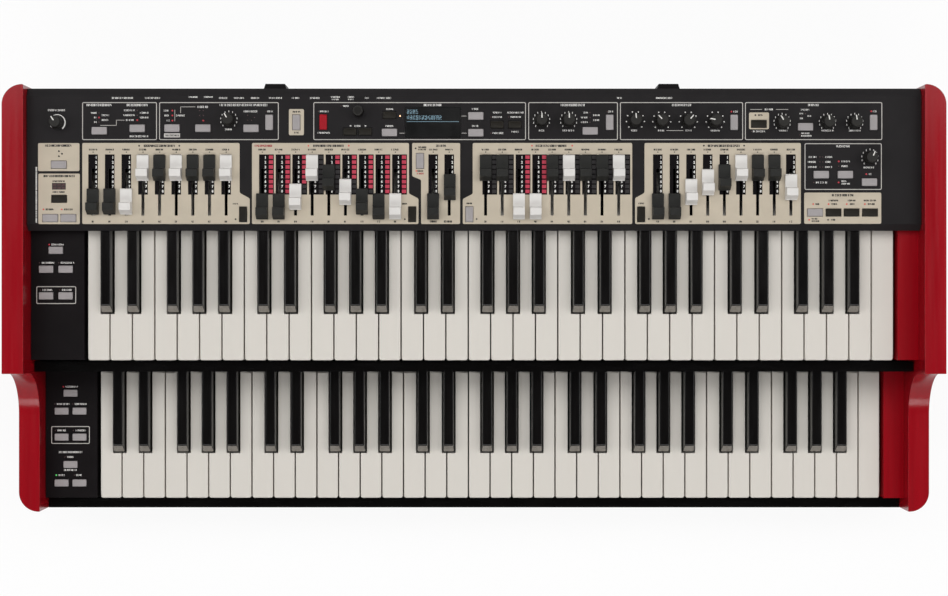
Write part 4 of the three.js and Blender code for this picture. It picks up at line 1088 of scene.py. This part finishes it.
PLATE_WORDS = [
    (45.2, 71.6, 145.6, 1.9), (43.6, 74.5, 176.1, 1.9), (52.8, 65, 181.2, 1.4), (52.8, 65, 192, 1.4),
    (45.8, 53.9, 209.4, 1.5), (64.3, 72.7, 209.4, 1.5), (143.9, 174.8, 145.8, 2.0),
    (313.2, 343.8, 145.8, 2.0), (436.2, 446.6, 145.8, 2.0), (418.3, 426.7, 147.3, 1.4),
    (418.3, 426.7, 149.5, 1.4), (417.5, 424, 171, 1.4), (535.8, 567.5, 145.8, 2.0),
    (707.9, 739.5, 145.8, 2.0), (832, 853.7, 195.2, 2.0), (815.5, 819.5, 204.1, 1.5),
    (828.9, 838.4, 200.5, 1.4), (831.6, 837.3, 204.1, 1.5), (847.9, 855.8, 200.5, 1.4),
    (850, 855.4, 204.1, 1.5), (863.7, 875.9, 200.5, 1.4), (868, 874.8, 204.1, 1.5),
    (811.8, 818, 218.8, 1.3), (811.8, 820.2, 221.2, 1.3), (831.6, 836, 219.8, 1.4),
    (292.8, 300.5, 111.8, 1.4), (294.3, 299, 132.6, 1.4), (758.2, 762.5, 115.1, 1.4),
    (233, 238, 203.8, 1.3), (402, 407, 203.8, 1.3), (430, 437, 221.5, 1.8), (444, 452, 221.5, 1.8),
    (638.5, 644, 203.4, 1.3), (466.6, 472, 203.4, 1.3),
]
RED_WORDS = [(254.8, 272.1, 145.8, 1.8), (417, 424, 173.6, 1.3)]
# A tag with marks on it, a ruler of ticks at the left and two arrows, in pixels
TAG, TAG_WORDS = (164, 180, 133.3, 137.4), (165.4, 178.8, 135.4, 1.7)
RULER_X, RULER_Y, TICK_HEIGHTS, TICK_GAPS = (35.6, 37.1), (167, 222), (0.6, 1.1), (0.4, 0.4, 0.9)
ARROWS, ARROW_Y, ARROW_BACK, ARROW_HALF = ((350.4, -1), (365.6, 1)), 125.9, 0.8, 0.9
# Thin printed lines: left and right, top and bottom ends, in pixels
LINES = [
    (100.3, 116.6, 125.1, 125.6), (116.1, 116.6, 120, 125.6), (116.1, 124.5, 119.9, 120.4),
    (174.6, 175, 109.8, 121.2), (180.4, 180.9, 106.6, 113), (180.4, 195.2, 106.6, 107.1),
    (666.4, 683.2, 130.3, 130.8), (750.3, 762, 109.2, 109.7), (775.9, 788.2, 109.2, 109.7),
    (399.4, 404.6, 132.9, 133.4), (461.4, 466.6, 115.8, 116.3), (461.4, 466.6, 132.9, 133.4),
    TAG,
]
# The window of six cells on the left plate, in pixels
SIX_CELLS, SIX_CELL_SIZE = (52, 65.8, 182.9, 189.6), (3.8, 2.5)
SIX_CELL_LEFTS, SIX_CELL_TOPS = (52.6, 57.1, 61.6), (183.4, 186.6)
# Lamps, in pixels
LIT_LAMPS = [
    (99, 117.5), (137.3, 120.1), (172.4, 110.6), (172.4, 115.5), (172.4, 120.6), (203.3, 120.6),
    (731.4, 111.6), (871.3, 111.3), (838.7, 161.4), (838.6, 182.4), (866.3, 174.1),
]
UNLIT_LAMPS = [
    (99, 112.9), (99, 122.1), (137.3, 110.4), (137.3, 115.2), (199.7, 110.6), (203.3, 110.6),
    (199.7, 115.5), (203.3, 115.5), (247.6, 115.3), (254.6, 117.5), (247.6, 120.2), (251.5, 120.2),
    (266.4, 111.4), (318.4, 111.4), (341, 106), (491, 117), (508.6, 117), (491, 133.1), (590, 112.6),
    (590, 117.5), (590, 122.2), (607.2, 111.5), (801.4, 116), (805.3, 113.6), (751.8, 131.4),
    (800, 134.8), (819.9, 157), (822.8, 157), (819.9, 161.9), (822.8, 161.9), (819.9, 167), (822.8, 167),
    (838.7, 166.2), (813.8, 182.5),
]
ORANGE_LAMPS = [(400.1, 116)]
PLATE_LAMPS = [
    (43.5, 209.4), (61.7, 209.4), (308.4, 145.7), (348.8, 145.7), (531.9, 145.7), (572.2, 145.7),
    (813.2, 204.1), (828.6, 204.1), (846.7, 204.1), (864.8, 204.1), (809.2, 219.8), (416.4, 171),
]
PLATE_DOTS = [
    (58.9, 151.2), (58.9, 156.2), (62, 153.8), (139.1, 145.8), (179.3, 145.8), (703.8, 145.7),
    (744.1, 145.7), (755.4, 115.1), (828.1, 219.8), (235.6, 219.2), (404.8, 219.2), (476.6, 219),
    (648.8, 219), (415.6, 148.4),
]


def labels(prints):
    for limits in FRAMES:
        frame_line(prints, DECK, GREY_PRINT, *limits)
    for sheet, look, rows in (
        (DECK, WHITE_PRINT, WHITE_WORDS),
        (PLATE_TOP, DARK_PRINT, PLATE_WORDS),
        (PLATE_TOP, RED_PRINT, RED_WORDS),
    ):
        for row in rows:
            words(prints, sheet, look, *row)
    for line in LINES:
        bar(prints, DECK, GREY_PRINT, *line)
    words(prints, Sheet(PANEL.top + PRINT_PROUD), DARK_PRINT, *TAG_WORDS)
    at, end = RULER_Y
    while at < end:
        tall = RANDOM.uniform(*TICK_HEIGHTS)
        bar(prints, DECK, WHITE_PRINT, *RULER_X, at, at + tall)
        at += tall + RANDOM.choice(TICK_GAPS)
    for px, way in ARROWS:
        x, y = DECK.spot(px, ARROW_Y)
        back = x - way * ARROW_BACK
        arrow = [(x + way, y), (back, y + way * ARROW_HALF), (back, y - way * ARROW_HALF)]
        prints.add(prism(arrow, *DECK.layer()), WHITE_PRINT)


# Scales round the knobs: radii in millimetres, angles in degrees anticlockwise from the right
DOTTED = ("bass", "mid_frequency", "mid_gain", "treble")
DASH_RING, DOT_RING = (8.6, 11), (9.4, 8)  # radius and count
DASH_HALF_WIDE, DASH_HALF_LONG, DOT_RADIUS, DOT_SIDES = 0.33, 0.9, 0.7, 10
SCALE_START, SCALE_SWEEP, VOLUME_SWEEP, VOLUME_STEPS = 225, 270, 275, 24
VOLUME_INNER, VOLUME_OUTER, VOLUME_SWELL = 7.7, 7.9, 1.3


def knob_scales(prints):
    """Dashes or dots round each knob, and the volume knob's swelling arc."""
    heights = (-PRINT_SUNK, PRINT_PROUD)
    dash = as_mesh(box_shape(-DASH_HALF_WIDE, DASH_HALF_WIDE, -DASH_HALF_LONG, DASH_HALF_LONG, *heights))
    dot = as_mesh(lathe([(DOT_RADIUS, height, 0) for height in heights], DOT_SIDES))
    for name in KNOB_TURNS:
        middle = Span(name + "_knob").middle
        if name == "master_volume":
            inner = arc(*middle, VOLUME_INNER, SCALE_START, SCALE_START - VOLUME_SWEEP, VOLUME_STEPS)
            shares = [step / VOLUME_STEPS for step in range(VOLUME_STEPS, -1, -1)]
            outer = [
                around(*middle, VOLUME_OUTER + VOLUME_SWELL * share, SCALE_START - VOLUME_SWEEP * share)
                for share in shares
            ]
            prints.add(prism(inner + outer, *DECK.layer()), WHITE_PRINT)
            continue
        shape, (radius, count) = (dot, DOT_RING) if name in DOTTED else (dash, DASH_RING)
        for x, y in arc(*middle, radius, SCALE_START, SCALE_START - SCALE_SWEEP, count - 1):
            prints.add(shape, WHITE_PRINT, (x, y, PANEL.top))


def panel_prints():
    prints = Build()
    scales(prints)
    labels(prints)
    knob_scales(prints)
    lamps(prints, DECK, RED_LAMP, LIT_LAMPS)
    lamps(prints, DECK, DIM_LAMP, UNLIT_LAMPS, TINY_LAMP)
    lamps(prints, DECK, ORANGE_LAMP, ORANGE_LAMPS)
    lamps(prints, PLATE_TOP, PLATE_LAMP, PLATE_LAMPS)
    lamps(prints, PLATE_TOP, DARK_PRINT, PLATE_DOTS)
    bar(prints, PLATE_TOP, DARK_CELL, *SIX_CELLS)
    wide, tall = SIX_CELL_SIZE
    for px in SIX_CELL_LEFTS:
        for py in SIX_CELL_TOPS:
            bar(prints, PLATE_TOP, DIM_LAMP, px, px + wide, py, py + tall, PRINT_PROUD)
    prints.made("panel_prints", "root", "panel_paint", smooth=0)


panel_prints()


# Marks on the display: blocks of dots in two rows, over a thin line, in pixels
DISPLAY_LEFT, DISPLAY_ROWS, DISPLAY_SUNK = 407, ((109.6, 4), (115.4, 12)), -0.06
DISPLAY_LINE = (406.8, 459, 121.4, 121.8)


def display_marks():
    marks = Build()
    pitch, dot, block_pitch, rows = 0.74, 0.629, 2.95, 6
    chances = (0.75, 0.35, 0.75)  # that a dot is lit, for each column of a block
    for top, count in DISPLAY_ROWS:
        for number in range(count):
            for column, chance in enumerate(chances):
                for row in range(rows):
                    if RANDOM.random() < chance:
                        px, py = DISPLAY_LEFT + number * block_pitch + column * pitch, top + row * pitch
                        bar(marks, DECK, SCREEN_MARK, px, px + dot, py, py + dot, DISPLAY_SUNK)
    bar(marks, DECK, SCREEN_MARK, *DISPLAY_LINE, DISPLAY_SUNK)
    marks.made("display_marks", "root", "window_plastic", smooth=0)


display_marks()

# Prints on the left blocks, in pixels as on the panel
BLOCK_WORD_TALL = 1.7
BLOCK_FRAMES = {"upper": (36.4, 76.1, 286.3, 303.9), "lower": (51.3, 89.8, 426.2, 443.8)}
BLOCK_WORDS = {
    "upper": [
        (51.6, 63.8, 244.6), (41.8, 55, 262.8), (60.8, 74.3, 262.8), (42.6, 52.2, 290), (62, 71.6, 290),
    ],
    "lower": [
        (65.6, 77.8, 386.7), (57, 69.3, 404), (74.8, 87.6, 404), (57.6, 67.2, 430.4), (75.8, 85.3, 430.4),
        (58.9, 82.1, 452.1), (67.2, 73.8, 457), (64, 77, 470), (58.8, 65.3, 475.1), (76.2, 82.6, 475.1),
    ],
}
BLOCK_LAMPS = {
    "upper": [
        (RED_LAMP, LAMP, [(49.2, 244.6)]),
        (DIM_LAMP, TINY_LAMP, [(39.5, 262.8), (58.8, 262.8), (40.4, 290), (59.6, 290)]),
    ],
    "lower": [
        (RED_LAMP, LAMP, [(63.4, 386.7)]), (GREEN_LAMP, LAMP, [(56.3, 475.1)]),
        (DIM_LAMP, TINY_LAMP, [(55, 404), (72.6, 404), (55.4, 430.4), (73.4, 430.4)]),
        (DIM_LAMP, TINY_LAMP, [(65, 457), (74.4, 475.1)]),
    ],
}


def block_prints():
    for manual, block in BLOCKS.items():
        sheet = Sheet(block.top)
        prints = Build()
        frame_line(prints, sheet, GREY_PRINT, *BLOCK_FRAMES[manual])
        for look, shape, spots in BLOCK_LAMPS[manual]:
            lamps(prints, sheet, look, spots, shape)
        for row in BLOCK_WORDS[manual]:
            words(prints, sheet, WHITE_PRINT, *row, BLOCK_WORD_TALL)
        prints.made(manual + "_block_prints", "root", "black_plastic", smooth=0)


block_prints()

# Finishes of the CAD nodes that stay, and how far their edges are rounded, in millimetres
CAD_LOOKS = [
    (PAN_PAINT, 0, ["base_pan"]),
    (RUBBER, 0, ["left_front_foot", "right_front_foot", "left_rear_foot", "right_rear_foot"]),
    (SHEET, 0, ["upper_chassis", "upper_keybed", "lower_keybed"]),
    (SLIP, 0.9, ["lower_key_slip", "upper_key_slip"]),
    (BLOCK, 0.5, ["upper_left_block", "lower_left_block"]),
    (PANEL_PAINT, 0, ["control_panel"]),
    (BRACKET_PAINT, 0.8, ["left_stand_bracket", "right_stand_bracket"]),
    (SCREEN, 0, ["display_window"]),
    (BOARD, 0, ["control_board"]),
    (SOCKET, 0, ["power_supply"]),
]


def round_edges(node, radius):
    """Joins the node's flat faces, then rounds its edges."""
    flat_angle, edge_angle, segments = 1, 40, 3
    flat = node.modifiers.new("flat_faces", "DECIMATE")
    flat.decimate_type = "DISSOLVE"
    flat.angle_limit = math.radians(flat_angle)
    rounding = node.modifiers.new("rounding", "BEVEL")
    rounding.width = radius * MM
    rounding.segments = segments
    rounding.angle_limit = math.radians(edge_angle)


for look, radius, names in CAD_LOOKS:
    for name in names:
        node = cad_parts[name]
        node.data.materials.clear()
        node.data.materials.append(look)
        if radius:
            round_edges(node, radius)
